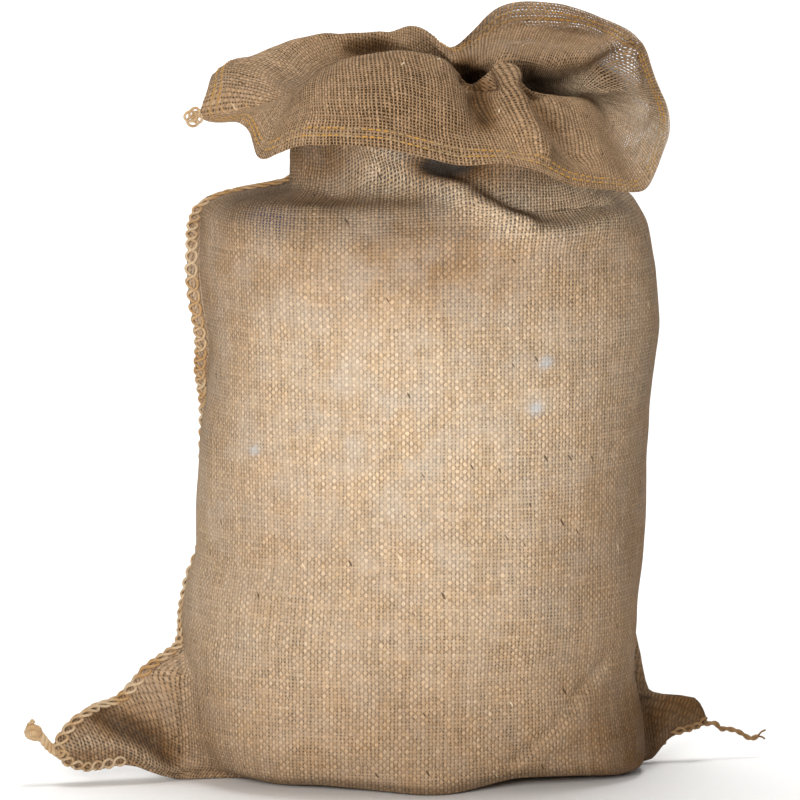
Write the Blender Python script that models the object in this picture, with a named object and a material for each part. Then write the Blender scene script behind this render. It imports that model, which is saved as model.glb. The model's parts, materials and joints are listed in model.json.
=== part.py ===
"""Sack race bag: a hessian sack standing full-shaped, its mouth flopped open over the shoulders.

Frame: metres, +Z up, origin on the floor under the middle of the base, front towards -Y.
The sack is one sheet of cloth, folded at the right side and overlocked with thick twine along
the left side and the bottom.  Cut flat it is 0.610 m wide and 1.016 m high.  The bottom corners
stick out as two ears, and loose ends of twine hang at both ears and at the corner of the mouth.
"""
import math

import bmesh
import bpy
from mathutils import Vector

# ---- driving dimensions (metres, degrees) ------------------------------------------------
CLOTH = 0.003               # hessian wall, with its fluff
FLOOR = 0.005               # base panel, doubled by the seam allowance
LINER = 0.0015              # thin inner bag
GAP = 0.0003                # running gap between neighbouring pieces
LINER_GAP = 0.001
FACET_GAP = 0.0006          # gap where a piece follows a curved, faceted edge
SEGMENTS = 48               # facets round the body
SEAM_TURN = math.radians(14)    # the seam plane is turned this far about +Z
SQUARENESS = 2.35           # exponent of the superellipse sections
LONG_AXIS = 1.18            # body section: its size along the seam plane over its size across
LINER_TOP = 0.520

NECK_X = 0.025              # middle of the neck
NECK_HALF_X = 0.125
NECK_HALF_Y = 0.100
NECK_TOP = 0.595
NECK_CLEARANCE = 0.013      # room for the collar to tilt round the neck
COLLAR_STATIONS = 60        # facets round the collar
COLLAR_FOOT = 0.583         # height of the collar's lower edge

TWINE_WIDE = 0.009          # overlock seam, across
TWINE_THICK = 0.0045        # overlock seam, height over the cloth
CORD_RADIUS = 0.0018        # a loose end of the twine
MARKER_WIDE = 0.0013        # marker yarn woven in beside the selvedge
MARKER_THICK = 0.0008

SIDE_SEAM_FOOT = 0.123      # the side seam runs on along the left ear below this
SIDE_SEAM_TOP = 0.530       # and along the collar above this
COLLAR_SEAM_ROW = 3         # the collar's seam starts at this row of COLLAR_ROWS

GROOVE_DEEP = 0.0024        # bed of the bottom seam in the base panel
GROOVE_WIDE = 0.0110
GROOVE_HALF_LENGTH = 0.125

# joint centres
COLLAR_HINGE = Vector((NECK_X, 0.0, 0.582))
LEFT_EAR_ROOT = Vector((-0.2105, -0.0497, 0.0))
RIGHT_EAR_ROOT = Vector((0.1945, 0.0497, 0.0))
MOUTH_CORNER = Vector((-0.1935, -0.0640, 0.599))

# The body from the floor to the neck: height, leftmost x, rightmost x, half depth.
BODY_LEVELS = [
    (0.000, -0.150, 0.145, 0.125),
    (0.010, -0.190, 0.178, 0.155),
    (0.040, -0.210, 0.195, 0.170),
    (0.110, -0.214, 0.198, 0.176),
    (0.190, -0.203, 0.204, 0.174),
    (0.265, -0.197, 0.209, 0.172),
    (0.340, -0.193, 0.213, 0.170),
    (0.410, -0.202, 0.220, 0.166),
    (0.460, -0.206, 0.217, 0.160),
    (0.500, -0.203, 0.208, 0.150),
    (0.525, -0.182, 0.195, 0.132),
    (0.540, -0.138, 0.172, 0.112),
    (0.552, NECK_X - NECK_HALF_X, NECK_X + NECK_HALF_X, NECK_HALF_Y + 0.002),
    (NECK_TOP, NECK_X - NECK_HALF_X, NECK_X + NECK_HALF_X, NECK_HALF_Y),
]

# The collar, anticlockwise from the seam corner at its left: the angle of its foot on the neck,
# then crest, slope and rim points in millimetres.
COLLAR_RIBS = [
    (185, (-150, -25, 600), (-172, -45, 600), (-191, -62, 599)),     # seam corner
    (200, (-130, -60, 606), (-145, -85, 608), (-153, -105, 600)),    # rolled edge
    (215, (-105, -95, 625), (-125, -130, 605), (-138, -152, 576)),   # hanging fold
    (230, (-85, -112, 645), (-98, -160, 625), (-103, -192, 585)),
    (248, (-55, -115, 655), (-58, -180, 635), (-58, -216, 587)),     # front billow
    (264, (-12, -115, 662), (-13, -185, 640), (-13, -226, 584)),
    (280, (25, -112, 655), (24, -185, 635), (24, -226, 582)),
    (292, (58, -112, 640), (60, -180, 622), (60, -220, 584)),
    (304, (90, -112, 640), (95, -180, 610), (96, -214, 577)),        # front pleat
    (318, (125, -110, 620), (130, -165, 592), (131, -198, 562)),
    (335, (166, -85, 602), (172, -140, 577), (168, -180, 552)),
    (350, (188, -60, 594), (196, -105, 570), (201, -150, 548)),      # lower right corner
    (360, (194, -35, 602), (206, -75, 587), (222, -110, 577)),
    (372, (194, -10, 615), (208, -45, 606), (227, -85, 602)),        # right edge
    (385, (184, 20, 630), (200, -10, 640), (211, -40, 641)),
    (398, (168, 50, 640), (186, 25, 655), (200, -8, 668)),           # upper right corner
    (412, (130, 82, 650), (145, 62, 675), (152, 34, 690)),
    (428, (90, 97, 650), (98, 77, 675), (100, 54, 692)),             # standing back lobe
    (444, (52, 108, 645), (54, 100, 664), (52, 88, 679)),
    (453, (30, 109, 652), (28, 112, 670), (25, 118, 684)),
    (464, (5, 109, 658), (0, 122, 666), (-5, 138, 656)),             # back, folded down
    (478, (-40, 105, 664), (-45, 124, 648), (-45, 130, 615)),
    (496, (-85, 92, 660), (-92, 114, 645), (-92, 122, 618)),
    (513, (-125, 66, 653), (-140, 76, 640), (-145, 77, 620)),
    (530, (-142, 15, 630), (-162, 10, 635), (-180, 0, 625)),         # upper left corner
]
COLLAR_ROWS = (0.0, 0.16, 0.34, 0.52, 0.70, 0.80, 0.88, 0.945, 1.0)
OUTER_MARKER_ROW = 7
INNER_MARKER_ROW = 6

# Ears: distance out from the root, lower edge, upper edge, half thickness.
LEFT_EAR_SHAPE = [
    (0.000, 0.006, 0.114, 0.003),
    (0.007, 0.003, 0.114, 0.012),
    (0.024, 0.003, 0.108, 0.017),
    (0.050, 0.005, 0.088, 0.015),
    (0.075, 0.007, 0.071, 0.012),
    (0.098, 0.010, 0.058, 0.009),
    (0.117, 0.016, 0.046, 0.006),
]
RIGHT_EAR_SHAPE = [
    (0.000, 0.006, 0.072, 0.003),
    (0.006, 0.002, 0.074, 0.010),
    (0.020, 0.003, 0.070, 0.014),
    (0.040, 0.009, 0.063, 0.012),
    (0.058, 0.019, 0.053, 0.008),
    (0.071, 0.027, 0.044, 0.004),
]
EAR_FACETS = 12

# Loose ends of twine: distance out from the ear's tip, rise, radius.
LEFT_TAIL_STEPS = [
    (0.0015, 0.000, 0.0014),
    (0.006, 0.002, 0.0018),
    (0.011, 0.006, 0.0022),
    (0.015, 0.011, 0.0050),     # the knot
    (0.019, 0.015, 0.0062),
    (0.023, 0.020, 0.0050),
    (0.026, 0.024, 0.0018),
]
RIGHT_TAIL_STEPS = [
    (0.0015, 0.000, 0.0015),
    (0.010, 0.001, 0.0020),
    (0.020, -0.005, 0.0022),
    (0.030, -0.009, 0.0020),
    (0.040, -0.014, 0.0021),
    (0.050, -0.012, 0.0018),
    (0.062, -0.008, 0.0012),
]
TAIL_SWAY = 0.002           # the right tail waves this far to either side
TAIL_SWAY_RATE = 90         # radians of its wave per metre

LOOP_RADIUS = 0.0062        # loop at the mouth's corner
LOOP_STANDOFF = Vector((-0.002, -0.002, 0.001))
LOOP_LEAN = 0.35            # the loop leans towards the front by this share of its width
LOOP_SIDE = Vector((-0.33, 0.94, 0.0))
LOOP_STEPS = 16
CORD_SIDES = 8

MERGE = 1e-6                # points closer than this are one point
SHARP_ANGLE = math.radians(40)
PIVOT_SIZE = 0.03           # drawn size of a joint's empty

# colour, roughness
CLOTH_LOOK = ((0.42, 0.31, 0.19), 0.95)
LINER_LOOK = ((0.62, 0.66, 0.72), 0.60)
TWINE_LOOK = ((0.66, 0.50, 0.33), 0.90)
MARKER_LOOK = ((0.72, 0.38, 0.05), 0.85)


# ---- helpers -----------------------------------------------------------------------------
def clear_scene():
    for old in list(bpy.data.objects):
        bpy.data.objects.remove(old)


def make_material(name, look):
    colour, roughness = look
    material = bpy.data.materials.new(name)
    material.use_nodes = True
    shader = material.node_tree.nodes["Principled BSDF"]
    shader.inputs["Base Color"].default_value = (*colour, 1.0)
    shader.inputs["Roughness"].default_value = roughness
    shader.inputs["Metallic"].default_value = 0.0
    return material


def make_pivot(name, place, parent=None):
    """An empty on a joint's axis, which carries the pieces that turn about it."""
    pivot = bpy.data.objects.new(name, None)
    pivot.empty_display_size = PIVOT_SIZE
    pivot.location = place - (parent.location if parent else Vector())
    pivot.parent = parent
    bpy.context.collection.objects.link(pivot)
    return pivot


def add_piece(name, bm, look, pivot=None, centre=None):
    """Turn a bmesh in world coordinates into a named object, under its pivot if it has one."""
    bmesh.ops.remove_doubles(bm, verts=bm.verts, dist=MERGE)
    bmesh.ops.triangulate(bm, faces=bm.faces)
    bmesh.ops.recalc_face_normals(bm, faces=bm.faces)
    if centre is not None:
        bmesh.ops.translate(bm, verts=bm.verts, vec=-centre)
    mesh = bpy.data.meshes.new(name)
    bm.to_mesh(mesh)
    bm.free()
    mesh.shade_smooth()
    mesh.set_sharp_from_angle(angle=SHARP_ANGLE)
    mesh.materials.append(make_material(name, look))
    piece = bpy.data.objects.new(name, mesh)
    bpy.context.collection.objects.link(piece)
    piece.parent = pivot
    return piece


def spline(points, t):
    """Point at t (0 to 1) on an open Catmull-Rom curve through points."""
    last = len(points) - 1
    place = min(max(t, 0.0), 1.0) * last
    i = min(int(place), last - 1)
    u = place - i
    before = points[max(i - 1, 0)]
    after = points[min(i + 2, last)]
    return blend_four(before, points[i], points[i + 1], after, u)


def ring_spline(points, t):
    """Point at t (0 to 1, periodic) on a closed Catmull-Rom curve through points."""
    count = len(points)
    place = (t % 1.0) * count
    i = int(place) % count
    u = place - int(place)
    return blend_four(points[i - 1], points[i], points[(i + 1) % count],
                      points[(i + 2) % count], u)


def blend_four(a, b, c, d, u):
    return 0.5 * (2 * b + (c - a) * u + (2 * a - 5 * b + 4 * c - d) * u * u
                  + (3 * b - a - 3 * c + d) * u * u * u)


def stitch_rings(bm, rings):
    """Join rings of vertices, each closed on itself, with quads."""
    for low, high in zip(rings, rings[1:]):
        count = len(low)
        for i in range(count):
            j = (i + 1) % count
            bm.faces.new((low[i], low[j], high[j], high[i]))


def new_ring(bm, points):
    return [bm.verts.new(p) for p in points]


def close_fan(bm, ring, centre):
    hub = bm.verts.new(centre)
    for i, vert in enumerate(ring):
        bm.faces.new((vert, ring[(i + 1) % len(ring)], hub))


def sweep(bm, path, side_of, half_wide, half_thick):
    """A bar of rectangular section along path; side_of(i) gives its across and up directions."""
    rings = []
    for i, centre in enumerate(path):
        across, up = side_of(i)
        rings.append(new_ring(bm, [
            centre - across * half_wide - up * half_thick,
            centre + across * half_wide - up * half_thick,
            centre + across * half_wide + up * half_thick,
            centre - across * half_wide + up * half_thick]))
    return rings


def capped_bar(path, side_of, half_wide, half_thick):
    bm = bmesh.new()
    rings = sweep(bm, path, side_of, half_wide, half_thick)
    stitch_rings(bm, rings)
    bm.faces.new(rings[0])
    bm.faces.new(rings[-1])
    return bm


def circle_angles(count):
    return [2 * math.pi * k / count for k in range(count)]


def cord(path, radii):
    """A round cord along path, closed at both ends."""
    bm = bmesh.new()
    rings = []
    for i, centre in enumerate(path):
        ahead = (path[min(i + 1, len(path) - 1)] - path[max(i - 1, 0)]).normalized()
        across = ahead.cross(Vector((0.0, 0.0, 1.0))).normalized()
        up = across.cross(ahead)
        rings.append(new_ring(bm, [
            centre + (across * math.cos(a) + up * math.sin(a)) * radii[i]
            for a in circle_angles(CORD_SIDES)]))
    stitch_rings(bm, rings)
    bm.faces.new(rings[0])
    bm.faces.new(rings[-1])
    return bm


# ---- the body ----------------------------------------------------------------------------
def unit_section():
    """Directions round a superellipse whose long axis lies in the seam plane, 1 wide each way."""
    points = []
    power = 2.0 / SQUARENESS
    for angle in circle_angles(SEGMENTS):
        x = math.copysign(abs(math.cos(angle)) ** power, math.cos(angle)) * LONG_AXIS
        y = math.copysign(abs(math.sin(angle)) ** power, math.sin(angle))
        points.append(Vector((x, y)))
    turned = [Vector((p.x * math.cos(SEAM_TURN) - p.y * math.sin(SEAM_TURN),
                      p.x * math.sin(SEAM_TURN) + p.y * math.cos(SEAM_TURN))) for p in points]
    wide = max(p.x for p in turned)
    deep = max(p.y for p in turned)
    return [Vector((p.x / wide, p.y / deep)) for p in turned]


def body_level(z):
    """Leftmost x, rightmost x and half depth of the body at height z."""
    levels = BODY_LEVELS
    i = 0
    while i < len(levels) - 2 and z > levels[i + 1][0]:
        i += 1
    u = (z - levels[i][0]) / (levels[i + 1][0] - levels[i][0])
    return [a + (b - a) * u for a, b in zip(levels[i][1:], levels[i + 1][1:])]


def body_ring(z, inset):
    left, right, deep = body_level(z)
    middle = (left + right) / 2
    half = (right - left) / 2 - inset
    return [Vector((middle + p.x * half, p.y * (deep - inset), z)) for p in unit_section()]


def cup(outer_levels, inner_levels, outer_inset, inner_inset):
    """A thin-walled cup: outer skin from its floor up, over the lip and down its inner skin."""
    bm = bmesh.new()
    outer = [new_ring(bm, body_ring(z, outer_inset)) for z in outer_levels]
    inner = [new_ring(bm, body_ring(z, inner_inset)) for z in reversed(inner_levels)]
    stitch_rings(bm, outer + inner)
    close_fan(bm, outer[0], Vector((0, 0, outer_levels[0])))
    close_fan(bm, inner[-1], Vector((0, 0, inner_levels[0])))
    return bm


def build_sack_cloth():
    heights = [level[0] for level in BODY_LEVELS]
    inner = [FLOOR] + heights[1:]
    bm = cup(heights, inner, 0.0, CLOTH)
    piece = add_piece("sack_cloth", bm, CLOTH_LOOK)
    cut_groove(piece)
    return piece


def cut_groove(piece):
    """The bed that the bottom seam lies in, across the base from ear to ear."""
    bpy.ops.mesh.primitive_cube_add(size=1.0, location=(0, 0, 0), rotation=(0, 0, SEAM_TURN))
    cutter = bpy.context.object
    cutter.name = "groove_cutter"
    cutter.scale = (2 * GROOVE_HALF_LENGTH, GROOVE_WIDE, 2 * GROOVE_DEEP)
    cutter.hide_render = True
    cutter.display_type = "WIRE"
    cut = piece.modifiers.new("groove", "BOOLEAN")
    cut.operation = "DIFFERENCE"
    cut.solver = "EXACT"
    cut.object = cutter


def build_liner_bag():
    heights = [level[0] for level in BODY_LEVELS if FLOOR < level[0] < LINER_TOP]
    skin = CLOTH + LINER_GAP
    low = FLOOR + LINER_GAP
    outer = [low] + heights + [LINER_TOP]
    inner = [low + LINER] + heights + [LINER_TOP]
    return add_piece("liner_bag", cup(outer, inner, skin, skin + LINER), LINER_LOOK)


def build_side_seam():
    """Overlocked twine up the left side, on the body's ridge in the seam plane."""
    ridge = SEGMENTS // 2
    heights = [z for z in (level[0] for level in BODY_LEVELS) if SIDE_SEAM_FOOT < z < SIDE_SEAM_TOP]
    heights = [SIDE_SEAM_FOOT] + heights
    surface = [body_ring(z, 0.0)[ridge] for z in heights]
    outward = Vector((-math.cos(SEAM_TURN), -math.sin(SEAM_TURN), 0))
    path = [p + outward * (GAP + TWINE_THICK / 2) for p in surface]
    across = Vector((math.sin(SEAM_TURN), -math.cos(SEAM_TURN), 0))
    bm = capped_bar(path, lambda i: (across, outward), TWINE_WIDE / 2, TWINE_THICK / 2)
    return add_piece("side_seam_twine", bm, TWINE_LOOK)


def build_bottom_seam():
    ahead = Vector((math.cos(SEAM_TURN), math.sin(SEAM_TURN), 0))
    across = Vector((-math.sin(SEAM_TURN), math.cos(SEAM_TURN), 0))
    up = Vector((0, 0, 1))
    high = GROOVE_DEEP - GAP
    reach = GROOVE_HALF_LENGTH - GAP
    path = [ahead * s + up * (high / 2) for s in (-reach, reach)]
    wide = GROOVE_WIDE / 2 - GAP
    return add_piece("bottom_seam_twine", capped_bar(path, lambda i: (across, up), wide, high / 2),
                     TWINE_LOOK)


# ---- the collar --------------------------------------------------------------------------
def collar_foot(degrees):
    angle = math.radians(degrees)
    return Vector((NECK_X + (NECK_HALF_X + NECK_CLEARANCE) * math.cos(angle),
                   (NECK_HALF_Y + NECK_CLEARANCE) * math.sin(angle), COLLAR_FOOT))


def collar_columns():
    """The collar's surface as COLLAR_STATIONS columns of points, from the foot to the rim."""
    feet = [collar_foot(rib[0]) for rib in COLLAR_RIBS]
    crests, slopes, rims = [[Vector(rib[k]) / 1000 for rib in COLLAR_RIBS] for k in (1, 2, 3)]
    columns = []
    for k in range(COLLAR_STATIONS):
        t = k / COLLAR_STATIONS
        rib = [ring_spline(line, t) for line in (feet, crests, slopes, rims)]
        columns.append([spline(rib, v) for v in COLLAR_ROWS])
    return columns


def column_normals(columns):
    """Unit normals of the grid, pointing to the mouth side, which shows at the front."""
    normals = []
    count = len(columns)
    rows = len(COLLAR_ROWS)
    for k in range(count):
        before = columns[k - 1]
        after = columns[(k + 1) % count]
        line = []
        for v in range(rows):
            along = after[v] - before[v]
            rise = columns[k][min(v + 1, rows - 1)] - columns[k][max(v - 1, 0)]
            line.append(rise.cross(along).normalized())
        normals.append(line)
    return normals


def build_collar_cloth(columns, normals, pivot):
    bm = bmesh.new()
    rings = []
    order = [(v, 0.5) for v in range(len(COLLAR_ROWS))]
    order += [(v, -0.5) for v in reversed(range(len(COLLAR_ROWS)))]
    for v, side in order:
        rings.append(new_ring(bm, [c[v] + n[v] * (side * CLOTH) for c, n in zip(columns, normals)]))
    stitch_rings(bm, rings + [rings[0]])
    return add_piece("collar_cloth", bm, CLOTH_LOOK, pivot, COLLAR_HINGE)


def build_marker(name, row, columns, normals, pivot):
    """A coloured yarn that runs round the mouth on the cloth's inner face."""
    bm = bmesh.new()
    lift = CLOTH / 2 + FACET_GAP + MARKER_THICK / 2
    path = [c[row] + n[row] * lift for c, n in zip(columns, normals)]
    across = [(c[row + 1] - c[row - 1]).normalized() for c in columns]
    rings = sweep(bm, path, lambda i: (across[i], normals[i][row]),
                  MARKER_WIDE / 2, MARKER_THICK / 2)
    stitch_rings(bm, rings + [rings[0]])
    return add_piece(name, bm, MARKER_LOOK, pivot, COLLAR_HINGE)


def build_collar_seam(columns, normals, pivot):
    """The end of the side seam, on the collar's outer face, out to the corner of the mouth."""
    rows = range(COLLAR_SEAM_ROW, len(COLLAR_ROWS))
    lift = CLOTH / 2 + FACET_GAP + TWINE_THICK / 2
    path = [columns[0][v] - normals[0][v] * lift for v in rows]
    ahead = (path[-1] - path[0]).normalized()
    up = normals[0][COLLAR_SEAM_ROW + 1]
    across = ahead.cross(up).normalized()
    bm = capped_bar(path, lambda i: (across, up), TWINE_WIDE / 2, TWINE_THICK / 2)
    return add_piece("collar_seam_twine", bm, TWINE_LOOK, pivot, COLLAR_HINGE)


def build_mouth_loop(pivot):
    """The loop of twine left where the seam ends at the mouth."""
    centre = MOUTH_CORNER + LOOP_STANDOFF - Vector((LOOP_RADIUS + CORD_RADIUS, 0, 0))
    side = LOOP_SIDE.normalized()
    bm = bmesh.new()
    rings = []
    for angle in circle_angles(LOOP_STEPS):
        out = Vector((math.cos(angle), LOOP_LEAN * math.cos(angle), math.sin(angle))).normalized()
        rings.append(new_ring(bm, [
            centre + out * LOOP_RADIUS + (out * math.cos(a) + side * math.sin(a)) * CORD_RADIUS
            for a in circle_angles(CORD_SIDES)]))
    stitch_rings(bm, rings + [rings[0]])
    return add_piece("mouth_corner_loop", bm, TWINE_LOOK, pivot, MOUTH_CORNER)


# ---- the ears ----------------------------------------------------------------------------
def ear_frame(side):
    """Outward and across directions of the ear on this side (-1 left, 1 right)."""
    out = Vector((side * math.cos(SEAM_TURN), side * math.sin(SEAM_TURN), 0))
    return out, Vector((-out.y, out.x, 0))


def build_ear_cloth(name, side, root, shape, pivot):
    out, across = ear_frame(side)
    bm = bmesh.new()
    rings = []
    for reach, low, high, half in shape:
        middle = root + out * reach + Vector((0, 0, (low + high) / 2))
        up = Vector((0, 0, (high - low) / 2))
        rings.append(new_ring(bm, [middle + across * (half * math.cos(a)) + up * math.sin(a)
                                   for a in circle_angles(EAR_FACETS)]))
    stitch_rings(bm, rings)
    bm.faces.new(rings[0])
    bm.faces.new(rings[-1])
    return add_piece(name, bm, CLOTH_LOOK, pivot, root)


def build_ear_twine(name, side, root, shape, edge, pivot):
    """Twine along the ear's upper (edge 1) or lower (edge -1) edge, out to the tip."""
    out, across = ear_frame(side)
    thick = TWINE_THICK if edge > 0 else TWINE_THICK / 2
    border = []
    for reach, low, high, _ in shape[1:]:
        height = high if edge > 0 else low
        border.append(root + out * reach + Vector((0, 0, height)))
    away = []
    for i, _ in enumerate(border):
        ahead = (border[min(i + 1, len(border) - 1)] - border[max(i - 1, 0)]).normalized()
        normal = ahead.cross(across).normalized()
        away.append(normal if normal.z * edge > 0 else -normal)
    points = [p + n * (FACET_GAP + thick / 2) for p, n in zip(border, away)]
    bm = capped_bar(points, lambda i: (across, away[i]), TWINE_WIDE / 2, thick / 2)
    return add_piece(name, bm, TWINE_LOOK, pivot, root)


def build_tail(name, side, steps, sway, pivot, start):
    """A loose end of twine from an ear's tip, waving sway to either side."""
    out, across = ear_frame(side)
    path = [start + out * reach + across * (sway * math.sin(reach * TAIL_SWAY_RATE)) + Vector((0, 0, rise))
            for reach, rise, _ in steps]
    radii = [radius for _, _, radius in steps]
    return add_piece(name, cord(path, radii), TWINE_LOOK, pivot, start)


def build_left_tail(pivot, start):
    """A short twisted end with a knot, cocked up off the left ear's tip."""
    return build_tail("left_tail_knot", -1, LEFT_TAIL_STEPS, 0.0, pivot, start)


def build_right_tail(pivot, start):
    """The long loose end of the bottom seam, trailing from the right ear's tip."""
    return build_tail("right_tail_twine", 1, RIGHT_TAIL_STEPS, TAIL_SWAY, pivot, start)


def ear_tip(side, root, shape):
    out, _ = ear_frame(side)
    reach, low, high, _ = shape[-1]
    return root + out * reach + Vector((0, 0, (low + high) / 2))


# ---- assembly ----------------------------------------------------------------------------
def build_body():
    build_sack_cloth()
    build_liner_bag()
    build_side_seam()
    build_bottom_seam()


def build_collar():
    pivot = make_pivot("collar_pivot", COLLAR_HINGE)
    columns = collar_columns()
    normals = column_normals(columns)
    build_collar_cloth(columns, normals, pivot)
    build_marker("marker_yarn_outer", OUTER_MARKER_ROW, columns, normals, pivot)
    build_marker("marker_yarn_inner", INNER_MARKER_ROW, columns, normals, pivot)
    build_collar_seam(columns, normals, pivot)
    build_mouth_loop(make_pivot("mouth_loop_pivot", MOUTH_CORNER, pivot))


def build_ears():
    left = make_pivot("left_ear_pivot", LEFT_EAR_ROOT)
    build_ear_cloth("left_ear_cloth", -1, LEFT_EAR_ROOT, LEFT_EAR_SHAPE, left)
    build_ear_twine("left_ear_side_twine", -1, LEFT_EAR_ROOT, LEFT_EAR_SHAPE, 1, left)
    build_ear_twine("left_ear_bottom_twine", -1, LEFT_EAR_ROOT, LEFT_EAR_SHAPE, -1, left)
    tip = ear_tip(-1, LEFT_EAR_ROOT, LEFT_EAR_SHAPE)
    build_left_tail(make_pivot("left_tail_pivot", tip, left), tip)

    right = make_pivot("right_ear_pivot", RIGHT_EAR_ROOT)
    build_ear_cloth("right_ear_cloth", 1, RIGHT_EAR_ROOT, RIGHT_EAR_SHAPE, right)
    build_ear_twine("right_ear_bottom_twine", 1, RIGHT_EAR_ROOT, RIGHT_EAR_SHAPE, -1, right)
    tip = ear_tip(1, RIGHT_EAR_ROOT, RIGHT_EAR_SHAPE)
    build_right_tail(make_pivot("right_tail_pivot", tip, right), tip)


clear_scene()
build_body()
build_collar()
build_ears()
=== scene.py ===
import json
import math

import bpy
import numpy as np
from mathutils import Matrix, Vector


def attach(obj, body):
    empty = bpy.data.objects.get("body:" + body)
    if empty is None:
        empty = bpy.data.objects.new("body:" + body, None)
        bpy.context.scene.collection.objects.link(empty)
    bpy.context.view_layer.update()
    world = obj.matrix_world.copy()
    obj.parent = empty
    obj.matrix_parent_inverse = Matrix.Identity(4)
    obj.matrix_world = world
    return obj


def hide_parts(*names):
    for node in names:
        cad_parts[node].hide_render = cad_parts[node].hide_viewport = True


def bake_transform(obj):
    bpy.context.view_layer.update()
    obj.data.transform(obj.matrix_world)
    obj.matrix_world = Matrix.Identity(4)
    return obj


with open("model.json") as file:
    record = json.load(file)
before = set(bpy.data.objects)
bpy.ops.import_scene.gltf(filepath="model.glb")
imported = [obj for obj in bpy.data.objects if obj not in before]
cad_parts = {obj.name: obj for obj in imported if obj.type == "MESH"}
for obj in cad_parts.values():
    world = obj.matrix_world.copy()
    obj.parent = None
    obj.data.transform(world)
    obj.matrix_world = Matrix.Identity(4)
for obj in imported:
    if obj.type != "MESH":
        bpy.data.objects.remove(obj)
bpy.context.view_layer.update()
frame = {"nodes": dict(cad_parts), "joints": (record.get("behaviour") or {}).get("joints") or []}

# ---- sizes (metres, degrees) -------------------------------------------------------------
CLOTH = 0.0013                  # visible thickness of the hessian
COLLAR_CLOTH = 0.0006           # and of the loose, open mouth, which light shines through
WARP_PITCH = 0.0034             # spacing of the upright yarns
WEFT_PITCH = 0.0031             # spacing of the level yarns
SQUARENESS = 2.35               # exponent of the body's superellipse sections
LONG_AXIS = 1.18                # body section: length over depth
SIDE_COLUMNS = 118              # mesh columns along each panel, without the ends
END_STEPS = (0.0, 0.0024, 0.0048, 0.0074, 0.0102, 0.0134, 0.0170, 0.0210, 0.0255)
PANEL_COLUMNS = SIDE_COLUMNS + 2 * (len(END_STEPS) - 1)
FLANGE = 0.0105                 # sewn edge standing out along the seam
FLANGE_HALF = 0.0016            # half its thickness
FLANGE_FILLET = 0.005           # rounding where it meets the wall
LEFT_EAR_HALF = 0.0055          # the left ear is thicker by this, and more rounded
LEFT_EAR_FILLET = 0.030
LEFT_EAR_FADE = (0.135, 0.105)  # heights over which it grows out of the flange
RIGHT_EAR_HALF = 0.006
RIGHT_EAR_FILLET = 0.016
LEFT_EAR_TOP = 0.135            # the ears' pieces end below these heights
RIGHT_EAR_TOP = 0.120
EAR_CUT = 0.004                 # an ear's piece starts this far out from its root
EAR_BEND = (0.008, 0.045)       # two distances out from an ear's root; the piece is not bent between them
LINER_SETBACK = 0.0035
SHEET_WIDTH = 0.610             # width of the flat sack
VIEW_ELEVATION = 7.0            # the camera looks down this much

hinge = {j["name"]: Vector(j["pos_m"]) for j in frame["joints"] if "pos_m" in j}
LEFT_EAR = hinge["left_ear_swing"]
RIGHT_EAR = hinge["right_ear_swing"]
MOUTH_CORNER = hinge["mouth_loop_swing"]
LEFT_TAIL = hinge["left_tail_swing"]
RIGHT_TAIL = hinge["right_tail_swing"]


# ---- small maths -------------------------------------------------------------------------
def smooth_step(value, low, high):
    t = np.clip((np.asarray(value, float) - low) / (high - low), 0.0, 1.0)
    return t * t * (3 - 2 * t)


def bell(value, middle, width):
    return np.exp(-((np.asarray(value, float) - middle) / width) ** 2)


def oval(x, z, centre, half):
    """1 at the centre of an oval, fading out over its half sizes."""
    return bell(x, centre[0], half[0]) * bell(z, centre[1], half[1])


def unit(v):
    return v / (np.linalg.norm(v, axis=-1, keepdims=True) + 1e-12)


def rise_along(points):
    """Distance of each point of a polyline from its start."""
    steps = np.linalg.norm(np.diff(points, axis=0), axis=1)
    return np.concatenate([[0.0], np.cumsum(steps)])


def length_of(points):
    return rise_along(points)[-1]


def resample(points, distances):
    """Points at the given distances along a polyline."""
    along = rise_along(points)
    return np.stack([np.interp(distances, along, values) for values in points.T], 1)


def table_value(x, table, softness=0.0):
    """Value at x from (x, value) pairs, rounded over a distance softness."""
    xs, ys = np.array(table, float).T
    if softness <= 0:
        return np.interp(x, xs, ys)
    offsets = np.linspace(-1.5, 1.5, 13)
    weights = np.exp(-offsets ** 2)
    weights /= weights.sum()
    return sum(w * np.interp(np.asarray(x, float) + o * softness, xs, ys)
               for o, w in zip(offsets, weights))


def hermite(knots, values, slopes, i, at):
    """A smooth curve's points at places at, each between its knot i and the next one."""
    h = (knots[i + 1] - knots[i])[:, None]
    t = (at - knots[i])[:, None] / h
    return ((2 * t ** 3 - 3 * t ** 2 + 1) * values[i] + (t ** 3 - 2 * t ** 2 + t) * h * slopes[i]
            + (-2 * t ** 3 + 3 * t ** 2) * values[i + 1] + (t ** 3 - t ** 2) * h * slopes[i + 1])


def line_distance(points, line):
    """Distance of 2-D points from a polyline, and their side of it: 1 left of its way, -1 right."""
    line = np.asarray(line, float)
    best = np.full(len(points), 1e9)
    side = np.zeros(len(points))
    for a, b in zip(line[:-1], line[1:]):
        d = b - a
        t = np.clip(((points - a) @ d) / (d @ d), 0, 1)
        off = points - a - t[:, None] * d
        gap = np.linalg.norm(off, axis=1)
        near = gap < best
        best = np.where(near, gap, best)
        side = np.where(near, np.sign(d[0] * off[:, 1] - d[1] * off[:, 0]), side)
    return best, side


def near_line(points, line, width):
    """1 on a polyline, fading out over a width on both sides."""
    return bell(line_distance(points, line)[0], 0, width)


NOISE_VALUES = 4096             # random values that the noise's lattice draws from
NOISE_PRIMES = (73856093, 19349663, 83492791)


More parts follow.
